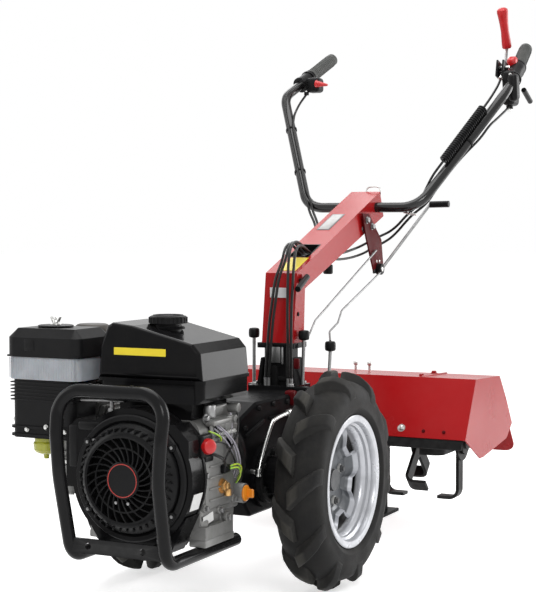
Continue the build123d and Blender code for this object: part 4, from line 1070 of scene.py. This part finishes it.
# ---------------- levers, rods and cables
# Dull steel rods run from the lever plate down to the gearbox, and a brighter cranked rod stands
# at the column's foot.  Sheathed cables run from the housings to threaded barrels on the bracket.
# The lever plate takes the red that is darkened as painted shade.
dress(SHADED_RED, "control_plate")
dress(DULL_STEEL, "lever_rods", "shift_rods", "cable_adjusters")
dress(BLACK_PLASTIC, "lever_grips", "selector_knobs")
dress(SHEATH_BLACK, "control_cables")

bm = bmesh.new()
bolts(bm, [(50, 604, 786), (50, 638, 770)], LEFTWARD, 12, 6, 9)
bolts(bm, [(x, 166, z) for x in (39, 47, -18, -10) for z in (411, 419)], UPWARD, 6.4, 2.4)
finish_piece("lever_plate_bolts", bm, DULL_STEEL)
wires("bar_end_clip", [
    [(-1, 722, 850), (-1, 722, 866), (8, 722, 873), (30, 722, 874), (40, 722, 868), (40, 722, 852)],
], 2.2, BRIGHT_STEEL)
wires("cranked_rod", [
    [(80, 84, 360), (80, 60, 358), (80, 8, 353), (80, -8, 340), (80, -41, 297), (80, -62, 262),
     (80, -67, 244)],
], 4.2, BRIGHT_STEEL)
bm = bmesh.new()
place = facing((55, 679, 661), LEFTWARD)
turned(bm, [(7, -8), (13, -8), (14.5, -6), (14.5, 6), (12.5, 8), (7, 8)], place, 36, True)
block(bm, (45.5, 652, 650), (51, 708, 662), 2, 2)
finish_piece("lever_pivot_cap", bm, BLACK_PLASTIC)
bm = bmesh.new()
rod(bm, (50, 679, 661), (64, 679, 661), 6.4, 24, 1.2)
for y in (670, 689):
    rod(bm, (45, y, 681), (51.2, y, 681), 3.4, 16, 0.6)
finish_piece("lever_pivot_pin", bm, BRIGHT_STEEL)

bm = bmesh.new()
for point in ((-72, 215, 520), (55.5, 215, 518), (100, 264, 491)):
    turned(bm, [(0, -8.5), (6, -8.5), (11, -7), (12.4, -4), (12.8, 3), (12.4, 11), (10, 14), (4, 15),
                (0, 15)], Matrix.Translation(point), 32)
finish_piece("knob_tops", bm, BLACK_PLASTIC, replaces=["selector_knobs"])


# ---------------- rotary tiller
# A red folded-sheet hood over a shaft of forged tines, driven through a black cast neck.  Bright
# bolts hold the neck's flange, the case's caps and the hood; the hood's seams are painted over.
FORGED = finish_of("forged_steel", (0.004, 0.004, 0.004), (0.009, 0.0085, 0.008), 30, (0.3, 0.45), 0.25,
                   grain=420, worn=(0.05, 0.05, 0.05), dust=0.03, dust_shade=(0.12, 0.09, 0.06),
                   specular=0.05)
dress(RED_PAINT, "hood_centre", "hood_left_extension", "hood_right_extension", "rear_flap")
dress(BLACK_CASTING, "hood_bar", "skid_clamp", "depth_skid", "tiller_neck", "tiller_case")
dress(FORGED, "rotor_shaft", "tines")
ROTOR_Y, ROTOR_Z = 662, 232            # middle of the case's bolted caps

bm = bmesh.new()
bolts(bm, [(183, 505.8, 280), (-183, 505.8, 280)], (0, -0.875, 0.485), 11, 5, 10)
for x in (-41, -2):
    rod(bm, (x, 752, 390), (x, 752, 406), 4, 14)
    rod(bm, (x, 752, 405), (x, 752, 415), 6.5, 20, 1.2)
finish_piece("hood_bolts", bm, BRIGHT_STEEL)

bm = bmesh.new()
for side in (1, -1):
    block(bm, (side * 209 - 1.5, 573, 392), (side * 209 + 1.5, 760, 399.5), 1, 2, turn=leaned("X", -2.4))
    bolts(bm, [(side * 196, 610, 397.5), (side * 196, 700, 397.5)], UPWARD, 11, 5, 9)
finish_piece("hood_seams", bm, RED_PAINT)
# The plugs in the hood's front take the red that is darkened as painted shade.
bm = bmesh.new()
for x in (241, 293, -241, -293):
    rod(bm, (x, 505, 274.6), (x, 500, 277.4), 4.2, 14, 0.6)
finish_piece("hood_plugs", bm, SHADED_RED)
bm = bmesh.new()
bolts(bm, [(x, NECK_Y, NECK_Z + z) for x, z in ring(6, 60)], REARWARD, 13, 7, 10)
for side in (1, -1):
    bolts(bm, [(side * 36, ROTOR_Y + y, ROTOR_Z + z) for y, z in ring(6, 39, 20)], (side, 0, 0), 9, 4)
finish_piece("neck_bolts", bm, BRIGHT_STEEL)
